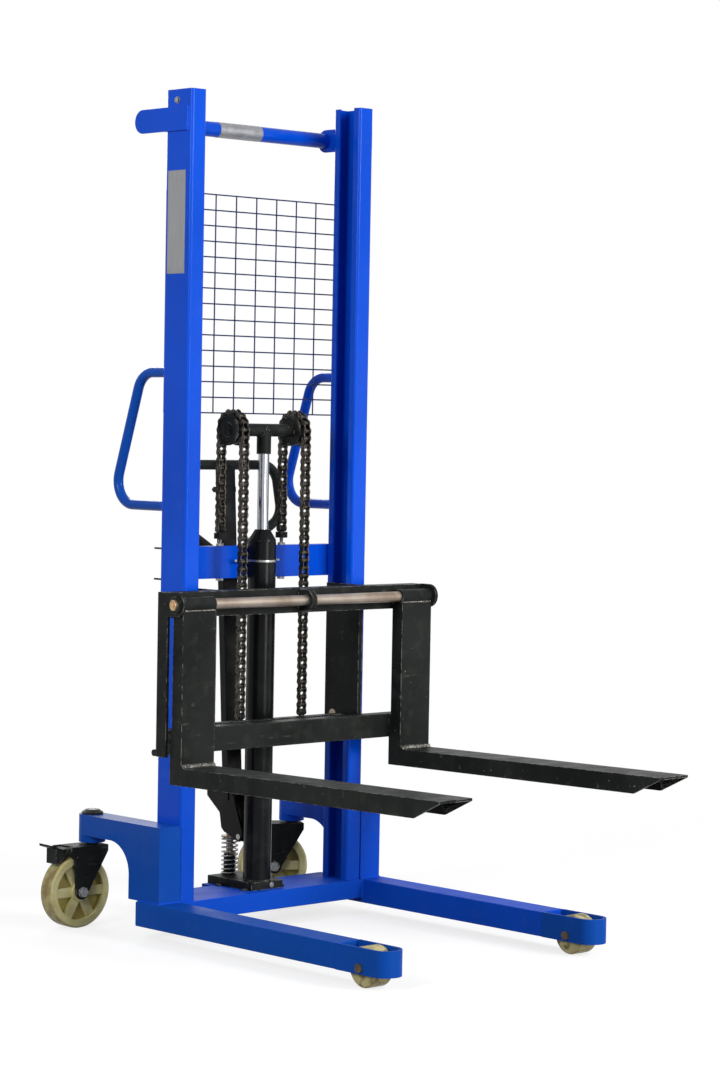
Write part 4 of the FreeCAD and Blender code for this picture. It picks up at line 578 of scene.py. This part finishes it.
# Roller chains
CHAIN_PITCH = 19.05 * MM
LINK_PLATE = 2.4 * MM
ROLLER_RADIUS, PIN_RADIUS = 5.95 * MM, 2.97 * MM
INNER_GAP, OUTER_GAP, PIN_END = 6.3 * MM, 8.85 * MM, 12.4 * MM
INNER_RADIUS, OUTER_RADIUS = 9.0 * MM, 7.8 * MM
WAIST_SHARE = 0.66
ARC_DEGREES, ARC_POINTS, LINK_SIDES = 105, 7, 10
REAR_LINKS, WRAP_LINKS = 13, 7
HIDDEN_SHRINK = 0.004
REAR_LOW, REAR_HIGH = box_of("rear_chains")
FRONT_LOW, FRONT_HIGH = box_of("front_chains")
REAR_PIN = ((REAR_LOW[1] + REAR_HIGH[1]) / 2, REAR_LOW[2] + OUTER_RADIUS)
FRONT_PIN = ((FRONT_LOW[1] + FRONT_HIGH[1]) / 2, PULLEY[2] - CHAIN_PITCH)
# The pitches by which each group of links has moved at the top of the lift, and the first link and the number
# of links in each group
SHIFTS = [0, 4, 8, 12, 16, 20, 24, 28, 30]
REAR_GROUPS = [(0, 6), *((order + 1, 5) for order in range(1, 8)), (REAR_LINKS - 2, 2)]
FRONT_GROUPS = [*((shift, 5) for shift in SHIFTS[:-1]), (SHIFTS[-1] + 2, 5)]


def plate_outline(radius):
    """A chain's side plate in (y, z): an arc of 210 degrees about each pin, with a waist point on each side
    half way between the pins."""
    turn = np.radians(np.linspace(-ARC_DEGREES, ARC_DEGREES, ARC_POINTS))
    top = np.column_stack([radius * np.sin(turn), CHAIN_PITCH + radius * np.cos(turn)])
    bottom = np.column_stack([-radius * np.sin(turn), -radius * np.cos(turn)])
    waist = np.array([[radius * WAIST_SHARE, CHAIN_PITCH / 2]])
    return np.vstack([top, waist, bottom, waist * [-1, 1]])


def chain_link(outer):
    """One link upright on its lower pin: two plates with pins through them, or with rollers between them."""
    gap, radius = (OUTER_GAP, OUTER_RADIUS) if outer else (INNER_GAP, INNER_RADIUS)
    round_radius, round_end = (PIN_RADIUS, PIN_END) if outer else (ROLLER_RADIUS, INNER_GAP)
    outline = plate_outline(radius)
    shapes = [extruded(outline, side * gap, side * (gap + LINK_PLATE)) for side in (LEFT, RIGHT)]
    shapes += [tube(straight((-round_end, 0, z), (round_end, 0, z)), round_radius, LINK_SIDES)
               for z in (0, CHAIN_PITCH)]
    return joined(shapes)


LINKS = [chain_link(outer=True), chain_link(outer=False)]


def chain_strand(name, links, low_pin, step, order):
    """Links of both chains that share one travel. Link n stands at low_pin plus n times step. A later group is
    a little smaller, so that links that lie on one another don't flicker."""
    first, count = links
    middle = np.array([0, 0, CHAIN_PITCH / 2])
    shapes = []
    for side in (LEFT, RIGHT):
        for index in range(first, first + count):
            points, faces = LINKS[index % 2]
            place = np.array([side * PULLEY[0], *low_pin]) + np.array([0, 0, step]) * index
            shapes.append(((points - middle) * (1 - HIDDEN_SHRINK * order) + middle + place, faces))
    piece = new_piece(name, joined(shapes), CHAIN)
    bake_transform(piece)
    return piece


for order, shift in enumerate(SHIFTS):
    strand = chain_strand(f"rear_chain_{order}", REAR_GROUPS[order], REAR_PIN, CHAIN_PITCH, order)
    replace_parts(strand, "rear_chains")
    strand = chain_strand(f"front_chain_{order}", FRONT_GROUPS[order], FRONT_PIN, -CHAIN_PITCH, order)
    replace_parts(strand, "front_chains")


def chain_over_pulleys():
    """The links round each pulley: link n is turned to lie between the pins at n and n + 1 sevenths of a half
    turn, on a circle whose chords are one pitch."""
    radius = CHAIN_PITCH / (2 * math.sin(math.pi / WRAP_LINKS / 2))
    turns = math.pi * np.arange(WRAP_LINKS + 1) / WRAP_LINKS
    pins = np.column_stack([radius * np.cos(turns), radius * np.sin(turns)]) + PULLEY[1:]
    shapes = []
    for side in (LEFT, RIGHT):
        for n in range(WRAP_LINKS):
            along = (pins[n + 1] - pins[n]) / CHAIN_PITCH
            points, faces = LINKS[(REAR_LINKS + n) % 2]
            x = points[:, 0] + side * PULLEY[0]
            y = pins[n][0] + points[:, 1] * along[1] + points[:, 2] * along[0]
            z = pins[n][1] - points[:, 1] * along[0] + points[:, 2] * along[1]
            shapes.append((np.column_stack([x, y, z]), faces))
    piece = new_piece("chain_over_pulleys", joined(shapes), CHAIN, "lift")
    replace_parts(piece, "chain_wraps")


chain_over_pulleys()


# Return spring round the pump's plunger
SPRING_WIRE_RADIUS = 2.3 * MM
SPRING_TURNS, DEAD_TURNS = 9.0, 0.75
DEAD_PITCH = 2.1 * SPRING_WIRE_RADIUS
DEAD_RISE = DEAD_PITCH * DEAD_TURNS
POINTS_PER_TURN, SPRING_SIDES = 24, 10


def return_spring():
    """A helix whose end coils lie almost flat: the height grows by little more than the wire's thickness in a
    dead turn and evenly over the turns between them."""
    low, high = box_of("return_spring")
    radius = (high[0] - low[0]) / 2 - SPRING_WIRE_RADIUS
    turns = np.linspace(0, SPRING_TURNS, int(SPRING_TURNS * POINTS_PER_TURN) + 1)
    bottom, top = low[2] + SPRING_WIRE_RADIUS, high[2] - SPRING_WIRE_RADIUS
    height = np.interp(turns, [0, DEAD_TURNS, SPRING_TURNS - DEAD_TURNS, SPRING_TURNS],
                       [bottom, bottom + DEAD_RISE, top - DEAD_RISE, top])
    middle = (low + high) / 2
    path = np.column_stack([middle[0] + radius * np.cos(2 * math.pi * turns),
                            middle[1] + radius * np.sin(2 * math.pi * turns), height])
    piece = new_piece("return_spring_coil", tube(path, SPRING_WIRE_RADIUS, SPRING_SIDES), ZINC)
    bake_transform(piece)
    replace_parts(piece, "return_spring")


return_spring()


# Wire screen
WIRE_RADIUS, WIRE_SIDES = 1.75 * MM, 8
WIRE_LAYERS = 1.7 * WIRE_RADIUS
SCREEN_COLUMN, SCREEN_ROW, SCREEN_SHIFT = 66.8 * MM, 38.4 * MM, 22.6 * MM
INNER_COLUMNS = np.arange(-4, 4)
CLIP_INSET, CLIP_RADIUS, CLIP_SIDES = 9.75 * MM, 5 * MM, 12
CLIP_ROWS = (1, 7, 13)


def wire_screen():
    """Upright and level wires as round bars in two layers that bite a little into each other, on six
    studs."""
    low, high = box_of("safety_screen")
    columns = [low[0] + WIRE_RADIUS, *(SCREEN_SHIFT + SCREEN_COLUMN * INNER_COLUMNS), high[0] - WIRE_RADIUS]
    rows = np.arange(low[2] + WIRE_RADIUS, high[2], SCREEN_ROW)
    front = high[1] - WIRE_RADIUS
    back = front + WIRE_LAYERS
    shapes = [tube(straight((low[0], front, z), (high[0], front, z)), WIRE_RADIUS, WIRE_SIDES) for z in rows]
    shapes += [tube(straight((x, back, low[2]), (x, back, high[2])), WIRE_RADIUS, WIRE_SIDES)
               for x in columns]
    for x in (low[0] + CLIP_INSET, high[0] - CLIP_INSET):
        shapes += [tube(straight((x, low[1], rows[row]), (x, back, rows[row])), CLIP_RADIUS, CLIP_SIDES)
                   for row in CLIP_ROWS]
    piece = new_piece("wire_screen", joined(shapes), SHADED_WIRE_BLUE, "mast")
    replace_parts(piece, "safety_screen")


wire_screen()


# Weld beads
RIPPLE, RIPPLE_SHARE, POINTS_PER_RIPPLE = 4.5 * MM, 0.10, 4
BEAD_SIDES, UPRIGHT_RING_POINTS, LEVEL_RING_POINTS = 8, 96, 48
HEEL_BEAD, FRAME_BEAD, PIPE_BEAD = 6.5 * MM, 3.0 * MM, 2.6 * MM
BEAD_INSET, HEEL_OFFSET = 1 * MM, 1.5 * MM
SHANK_FRONT, DECK = -128.0 * MM, 436.6 * MM
SLEEVE_BEAD_Y, SHANK_TOP = -124.0 * MM, 806.5 * MM
SOCKET_BEAD_RADIUS, HEAD_RADIUS = 17 * MM, 16 * MM
POST_SIDE = box_of("mast_post_left")[0][0]
MAST_HALF = -POST_SIDE
BAR_LOW, BAR_HIGH = box_of("mid_crossbar")


def bead_line(start, end, radius):
    """A straight weld bead: a tube whose radius swells and shrinks with each ripple of the puddle."""
    length = np.linalg.norm(np.subtract(end, start))
    path = straight(start, end, max(2, int(length / RIPPLE * POINTS_PER_RIPPLE)))
    along = np.linalg.norm(path - path[0], axis=1)
    return tube(path, radius * (1 + RIPPLE_SHARE * np.cos(2 * math.pi * along / RIPPLE)), BEAD_SIDES)


def bead_round_upright(centre, radius, thickness, sag=None):
    """A bead round an upright bar: a circle at one height, or at the height that sag gives for each y."""
    turn = np.linspace(0, 2 * math.pi, UPRIGHT_RING_POINTS, endpoint=False)
    x, y = radius * np.cos(turn), radius * np.sin(turn)
    z = sag(y) if sag else np.zeros_like(turn)
    return tube(np.column_stack([x, y, z]) + np.asarray(centre), thickness, BEAD_SIDES, closed=True)


def bead_round_level(centre, radius, thickness):
    """A bead round a bar that lies along y: a circle in x and z."""
    turn = np.linspace(0, 2 * math.pi, LEVEL_RING_POINTS, endpoint=False)
    ring = np.column_stack([radius * np.cos(turn), np.zeros_like(turn), radius * np.sin(turn)])
    return tube(ring + np.asarray(centre), thickness, BEAD_SIDES, closed=True)


def fork_beads():
    """On each fork, a bead in the corner of the heel and one under the sleeve, across the shank's width."""
    for name in SIDE_NAMES.values():
        low, high = box_of(f"fork_{name}")
        near, far = low[0] + BEAD_INSET, high[0] - BEAD_INSET
        for seam, y, z, radius in (("heel", SHANK_FRONT - HEEL_OFFSET, DECK + HEEL_OFFSET, HEEL_BEAD),
                                   ("sleeve", SLEEVE_BEAD_Y, SHANK_TOP, FRAME_BEAD)):
            new_piece(f"fork_{name}_{seam}_bead", bead_line((near, y, z), (far, y, z), radius), WELD,
                      f"fork_{name}")


def frame_beads():
    """Straight beads where tie lugs, base beam, caster arms and crossbar meet the posts and legs, and rings
    round the ends of the push handles."""
    lug_low, lug_high = box_of("tie_lugs")
    beam_low, beam_high = box_of("base_beam")
    beads = []
    for side, name in SIDE_NAMES.items():
        face, bar_end = side * MAST_HALF, side * BAR_HIGH[0]
        arm_low, arm_high = box_of(f"caster_arm_{name}")
        outer = side * max(abs(arm_low[0]), abs(arm_high[0]))
        leg_rear = box_of(f"straddle_leg_{name}")[1][1]
        for start, end in (((face, lug_low[1], lug_low[2]), (face, lug_low[1], lug_high[2])),
                           ((face, beam_low[1], beam_low[2]), (face, beam_low[1], beam_high[2])),
                           ((outer, arm_low[1], arm_low[2]), (outer, leg_rear, arm_low[2])),
                           ((face, arm_low[1], arm_low[2]), (outer, arm_low[1], arm_low[2])),
                           ((bar_end, BAR_LOW[1], BAR_LOW[2]), (bar_end, BAR_LOW[1], BAR_HIGH[2]))):
            beads.append(bead_line(start, end, FRAME_BEAD))
        low, high = box_of(f"push_handle_{name}")
        middle, radius = (low[0] + high[0]) / 2, (high[0] - low[0]) / 2
        for z in (low[2] + radius, high[2] - radius):
            beads.append(bead_round_level((middle, low[1] + PIPE_BEAD / 2, z), radius, PIPE_BEAD))
    new_piece("frame_beads", joined(beads), BLUE, "mast")


def lift_beads():
    """A ring round the cylinder's foot, and one round the ram's socket that follows the round bar of the
    head: its height is minus the root of the bar's radius squared less y squared."""
    low, high = box_of("cylinder_tube")
    middle = (low + high) / 2
    foot = bead_round_upright((*middle[:2], low[2]), (high[0] - low[0]) / 2, FRAME_BEAD)
    new_piece("cylinder_foot_bead", foot, BLACK, "mast")
    head = bead_round_upright((0, *PULLEY[1:]), SOCKET_BEAD_RADIUS, FRAME_BEAD,
                              lambda y: -np.sqrt(np.maximum(HEAD_RADIUS ** 2 - y ** 2, 0)))
    new_piece("lift_head_bead", head, BLACK, "lift")


fork_beads()
frame_beads()
lift_beads()


# Bolts, nuts and pins
UP, DOWN, FORWARD = (0, 0, 1), (0, 0, -1), (0, -1, 0)
HEX_SHARE, WASHER_SIDES, PIN_SIDES = 1.155, 24, 10
WASHER_HEIGHT, FASTENER_EDGE = 1.5 * MM, 0.5 * MM
ROD_NUT, ROD_NUT_HEIGHT = 17 * MM, 6 * MM
TIE_BOLT, TIE_BOLT_HEIGHT, TIE_WASHER_RADIUS = 12 * MM, 6 * MM, 8.5 * MM
TIE_BOLT_Y, TIE_BOLT_Z = 52 * MM, 2024 * MM
HOOK_X, HOOK_START, HOOK_END, HOOK_RADIUS = 293 * MM, 95 * MM, 123 * MM, 2.5 * MM
HOOK_HEIGHTS = (868.5 * MM, 943.5 * MM)
FOOT_BOLT, FOOT_BOLT_HEIGHT = 13 * MM, 5 * MM
FOOT_BOLT_X, FOOT_BOLT_Z = 61 * MM, 92 * MM
FOOT_BOLT_ROWS = (36 * MM, 134 * MM)
PLUG, PLUG_HEIGHT, PLUG_WASHER_RADIUS = 10 * MM, 2.5 * MM, 7 * MM
PLUG_SEAT = (14 * MM, 20 * MM, 102 * MM)
ANCHOR_LOW, ANCHOR_HIGH = box_of("chain_anchors")
ROD_Y = (ANCHOR_LOW[1] + ANCHOR_HIGH[1]) / 2


def hex_head(seat, way, flats, height):
    """A six-sided head from its seat along a direction, flats across its sides."""
    seat = np.asarray(seat, dtype=float)
    return tube(straight(seat, seat + np.asarray(way, dtype=float) * height), flats / 2 * HEX_SHARE, 6)


def washer(seat, way, radius, height):
    """A disc from its seat along a direction."""
    seat = np.asarray(seat, dtype=float)
    return tube(straight(seat, seat + np.asarray(way, dtype=float) * height), radius, WASHER_SIDES)


def frame_fasteners():
    """Rod nuts, tie bolts and the pump's plug in zinc, hook pins and the pump's foot bolts in black."""
    bright = []
    black = []
    for side in (LEFT, RIGHT):
        rod_x, hook_x = side * PULLEY[0], side * HOOK_X
        outwards, tie_seat = (side, 0, 0), (side * MAST_HALF, TIE_BOLT_Y, TIE_BOLT_Z)
        bright += [hex_head((rod_x, ROD_Y, BAR_HIGH[2]), UP, ROD_NUT, ROD_NUT_HEIGHT),
                   hex_head((rod_x, ROD_Y, BAR_LOW[2]), DOWN, ROD_NUT, ROD_NUT_HEIGHT),
                   washer(tie_seat, outwards, TIE_WASHER_RADIUS, WASHER_HEIGHT),
                   hex_head(tie_seat, outwards, TIE_BOLT, TIE_BOLT_HEIGHT)]
        black += [tube(straight((hook_x, HOOK_START, z), (hook_x, HOOK_END, z)), HOOK_RADIUS, PIN_SIDES)
                  for z in HOOK_HEIGHTS]
        black += [hex_head((side * FOOT_BOLT_X, y, FOOT_BOLT_Z), UP, FOOT_BOLT, FOOT_BOLT_HEIGHT)
                  for y in FOOT_BOLT_ROWS]
    bright += [washer(PLUG_SEAT, FORWARD, PLUG_WASHER_RADIUS, WASHER_HEIGHT),
               hex_head(PLUG_SEAT, FORWARD, PLUG, PLUG_HEIGHT)]
    for name, shapes, finish in (("frame_bolts", bright, ZINC), ("frame_pins", black, BLACK)):
        piece = rounded_edges(new_piece(name, joined(shapes), finish, "mast"), FASTENER_EDGE, 1)
        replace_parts(piece, "frame_fasteners")


ANCHOR_HALF, ANCHOR_HEIGHT, ANCHOR_GAP, ANCHOR_EDGE = 11 * MM, 15 * MM, 0.3 * MM, 1 * MM
ANCHOR_EYE_RADIUS, ANCHOR_EYE_HALF, ANCHOR_EYE_SIDES = 9 * MM, 6 * MM, 24
ROD_RADIUS, ROD_SIDES = 4.9 * MM, 16
THREAD_PITCH, THREAD_SHARE, RINGS_PER_TURN = 2 * MM, 0.08, 4


def threaded_rod(start, end, radius):
    """A bar whose radius falls and rises by a small share once in each pitch of the thread."""
    count = int(np.linalg.norm(np.subtract(end, start)) / THREAD_PITCH * RINGS_PER_TURN)
    turn = 2 * math.pi * np.arange(count) / RINGS_PER_TURN
    return tube(straight(start, end, count), radius * (1 - THREAD_SHARE * (1 + np.cos(turn)) / 2), ROD_SIDES)


def chain_anchors():
    """Under each rear strand, a block with an eye round the lowest pin, on a threaded rod."""
    top = REAR_PIN[1] - OUTER_RADIUS - ANCHOR_GAP
    blocks = []
    rods = []
    for side in (LEFT, RIGHT):
        x = side * PULLEY[0]
        blocks += [block((x - ANCHOR_HALF, ROD_Y - ANCHOR_HALF, top - ANCHOR_HEIGHT),
                         (x + ANCHOR_HALF, ROD_Y + ANCHOR_HALF, top)),
                   tube(straight((x - ANCHOR_EYE_HALF, *REAR_PIN), (x + ANCHOR_EYE_HALF, *REAR_PIN)),
                        ANCHOR_EYE_RADIUS, ANCHOR_EYE_SIDES)]
        rods.append(threaded_rod((x, ROD_Y, ANCHOR_LOW[2]), (x, ROD_Y, top - ANCHOR_HEIGHT / 2), ROD_RADIUS))
    piece = new_piece("anchor_blocks", joined(blocks), BLACK, "mast")
    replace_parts(rounded_edges(piece, ANCHOR_EDGE), "chain_anchors")
    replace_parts(new_piece("anchor_rods", joined(rods), ZINC, "mast"), "chain_anchors")


END_CAP_RADIUS, END_CAP = 11.5 * MM, 1.5 * MM


def shaft_end_caps():
    """A disc on each end of the fork shaft, and a smaller one on it."""
    low, high = box_of("fork_shaft")
    axis = ((low + high) / 2)[1:]
    caps = [washer((side * (high[0] + step * END_CAP), *axis), (side, 0, 0), radius, END_CAP)
            for step, radius in enumerate((END_CAP_RADIUS, END_CAP_RADIUS / 2)) for side in (LEFT, RIGHT)]
    piece = new_piece("shaft_end_caps", joined(caps), BRASS, "carriage")
    rounded_edges(piece, FASTENER_EDGE)


CASTER_BOLT_SEAT, CASTER_BOLT_EDGE = 32 * MM, 0.8 * MM
CASTER_BOLT, CASTER_BOLT_HEIGHT = 22.4 * MM, 8.5 * MM
CASTER_WASHER_RADIUS, CASTER_WASHER_HEIGHT = 13 * MM, 2 * MM


def caster_axle_bolts():
    """A hexagon head on a washer at both ends of each caster's axle."""
    for name, joint in CASTER_AXLES.items():
        middle, axle = np.array(joint["pos_m"]), np.array(joint["axis"])
        shapes = []
        for way in (-axle, axle):
            seat = middle + way * CASTER_BOLT_SEAT
            shapes.append(washer(seat, way, CASTER_WASHER_RADIUS, CASTER_WASHER_HEIGHT))
            shapes.append(hex_head(seat, way, CASTER_BOLT, CASTER_BOLT_HEIGHT))
        bolt = new_piece(f"caster_{name}_axle_bolt", joined(shapes), ZINC, f"caster_fork_{name}")
        rounded_edges(bolt, CASTER_BOLT_EDGE, 1)


frame_fasteners()
chain_anchors()
shaft_end_caps()
caster_axle_bolts()


# Bare silver band on the tie tube and bare plate on the near post
FOIL_THICKNESS, FOIL_EDGE = 0.5 * MM, 0.3 * MM
BAND_START, BAND_END, BAND_SIDES = -69 * MM, 70 * MM, 48
PLATE_LOW_Y, PLATE_HIGH_Y, PLATE_LOW_Z, PLATE_HIGH_Z = 19 * MM, 84 * MM, 1608 * MM, 1856 * MM


def bare_foils():
    """A sleeve of foil round the tie tube, and a thin box on the near post's outer side."""
    low, high = box_of("tie_tube")
    axis, radius = ((low + high) / 2)[1:], (high[2] - low[2]) / 2
    band = tube(straight((BAND_START, *axis), (BAND_END, *axis)), radius + FOIL_THICKNESS, BAND_SIDES)
    new_piece("tie_tube_band", band, FOIL, "mast")
    plate = block((POST_SIDE - FOIL_THICKNESS, PLATE_LOW_Y, PLATE_LOW_Z),
                  (POST_SIDE, PLATE_HIGH_Y, PLATE_HIGH_Z))
    rounded_edges(new_piece("post_plate", plate, FOIL, "mast"), FOIL_EDGE, 1)


bare_foils()


# Floor, light and camera
CAMERA_PLACE = (-4.83821, -5.40840, 1.25986)
YAW, PITCH_DOWN, ROLL = math.radians(43.4102), math.radians(2.3109), math.radians(1.0098)
FOCAL_PIXELS, IMAGE_HEIGHT, SENSOR = 2934.57, 1080, 36.0
VIEW_END = 500


def photo_camera():
    """The photograph's view: forward from yaw and pitch, then right and up turned by the roll."""
    forward = np.array([math.sin(YAW) * math.cos(PITCH_DOWN), math.cos(YAW) * math.cos(PITCH_DOWN),
                        -math.sin(PITCH_DOWN)])
    level = np.array([math.cos(YAW), -math.sin(YAW), 0])
    upright = np.cross(level, forward)
    right = math.cos(ROLL) * level + math.sin(ROLL) * upright
    up = -math.sin(ROLL) * level + math.cos(ROLL) * upright
    lens = bpy.data.cameras.new("camera")
    lens.sensor_width = SENSOR
    lens.lens = FOCAL_PIXELS / IMAGE_HEIGHT * SENSOR
    lens.clip_end = VIEW_END
    camera = bpy.data.objects.new("camera", lens)
    turn = np.column_stack([right, up, -forward])
    camera.matrix_world = Matrix.Translation(CAMERA_PLACE) @ Matrix(turn.tolist()).to_4x4()
    bpy.context.scene.collection.objects.link(camera)
    bpy.context.scene.camera = camera


SKY_LIGHT = 0.34
FLOOR_GREY, FLOOR_BOUNCE = 0.80, 0.18
FLOOR_GLOW, FLOOR_GLOW_SHARE = 1.25, 0.60
FLOOR_NEAR, FLOOR_FAR = 1.5, 3.2
FLOOR_HALF_SIZE = 60.0


def sight_share(tree):
    """1 for a ray that shows the background, straight from the camera or by way of gloss or glass, and 0 for
    light."""
    rays = tree.nodes.new("ShaderNodeLightPath").outputs
    share = rays["Is Camera Ray"]
    for kind in ("Is Glossy Ray", "Is Transmission Ray"):
        larger = tree.nodes.new("ShaderNodeMath")
        larger.operation = "MAXIMUM"
        tree.links.new(share, larger.inputs[0])
        tree.links.new(rays[kind], larger.inputs[1])
        share = larger.outputs["Value"]
    return share


def white_sky():
    """White where it is seen, and a soft grey light on everything else."""
    world = bpy.data.worlds.new("sky")
    world.use_nodes = True
    tree = world.node_tree
    seen = tree.nodes["Background"]
    seen.inputs["Color"].default_value = (1, 1, 1, 1)
    seen.inputs["Strength"].default_value = 1.0
    light = tree.nodes.new("ShaderNodeBackground")
    light.inputs["Color"].default_value = (1, 1, 1, 1)
    light.inputs["Strength"].default_value = SKY_LIGHT
    mix = tree.nodes.new("ShaderNodeMixShader")
    tree.links.new(sight_share(tree), mix.inputs[0])
    tree.links.new(light.outputs[0], mix.inputs[1])
    tree.links.new(seen.outputs[0], mix.inputs[2])
    tree.links.new(mix.outputs[0], tree.nodes["World Output"].inputs["Surface"])
    bpy.context.scene.world = world


def floor_finish():
    """A dull floor to the light. It is seen white with a soft shadow near the object, and plain white farther
    out."""
    finish = bpy.data.materials.new("pale_floor")
    finish.use_nodes = True
    tree = finish.node_tree
    tree.nodes.remove(tree.nodes["Principled BSDF"])

    def matt(grey):
        node = tree.nodes.new("ShaderNodeBsdfDiffuse")
        node.inputs["Color"].default_value = (grey, grey, grey, 1)
        return node.outputs[0]

    def glow(strength):
        node = tree.nodes.new("ShaderNodeEmission")
        node.inputs["Strength"].default_value = strength
        return node.outputs[0]

    def mixed(share, first, second):
        node = tree.nodes.new("ShaderNodeMixShader")
        if isinstance(share, float):
            node.inputs[0].default_value = share
        else:
            tree.links.new(share, node.inputs[0])
        tree.links.new(first, node.inputs[1])
        tree.links.new(second, node.inputs[2])
        return node.outputs[0]

    distance = tree.nodes.new("ShaderNodeVectorMath")
    distance.operation = "LENGTH"
    tree.links.new(tree.nodes.new("ShaderNodeTexCoord").outputs["Object"], distance.inputs[0])
    fade = tree.nodes.new("ShaderNodeMapRange")
    fade.inputs["From Min"].default_value = FLOOR_NEAR
    fade.inputs["From Max"].default_value = FLOOR_FAR
    tree.links.new(distance.outputs["Value"], fade.inputs["Value"])
    near = mixed(FLOOR_GLOW_SHARE, matt(FLOOR_GREY), glow(FLOOR_GLOW))
    seen = mixed(fade.outputs["Result"], near, glow(1.0))
    whole = mixed(sight_share(tree), matt(FLOOR_BOUNCE), seen)
    tree.links.new(whole, tree.nodes["Material Output"].inputs["Surface"])
    return finish


def pale_floor():
    half = FLOOR_HALF_SIZE
    mesh = bpy.data.meshes.new("floor")
    corners = [(-half, -half, 0), (half, -half, 0), (half, half, 0), (-half, half, 0)]
    mesh.from_pydata(corners, [], [(0, 1, 2, 3)])
    mesh.materials.append(floor_finish())
    floor = bpy.data.objects.new("floor", mesh)
    bpy.context.scene.collection.objects.link(floor)


def soft_lamp(name, place, aim, size, watts):
    """A square area lamp at a place, facing a point."""
    lamp = bpy.data.lights.new(name, "AREA")
    lamp.shape = "SQUARE"
    lamp.size = size
    lamp.energy = watts
    fixture = bpy.data.objects.new(name, lamp)
    back = np.subtract(place, aim)
    back = back / np.linalg.norm(back)
    side = np.cross((0, 0, 1), back)
    side /= np.linalg.norm(side)
    turn = np.column_stack([side, np.cross(back, side), back])
    fixture.matrix_world = Matrix.Translation(place) @ Matrix(turn.tolist()).to_4x4()
    bpy.context.scene.collection.objects.link(fixture)


# Each lamp's place, the point it faces, its size and its watts
LAMPS = {"key_lamp": ((1.2, -4.8, 2.8), (0, -0.2, 1.0), 1.6, 165),
         "low_lamp": ((0.2, -5.6, 0.9), (0, -0.2, 0.7), 1.6, 75),
         "fill_lamp": ((-4.8, -1.2, 2.8), (0, 0, 1.1), 2.0, 128),
         "sheen_lamp": ((4.2, -4.4, 0.8), (0, 0, 0.9), 2.2, 16),
         "rear_lamp": ((2.2, 4.4, 3.4), (0, 0, 0.9), 2.4, 80)}

photo_camera()
white_sky()
pale_floor()
for lamp_name, settings in LAMPS.items():
    soft_lamp(lamp_name, *settings)
bpy.context.scene.view_settings.view_transform = "Standard"
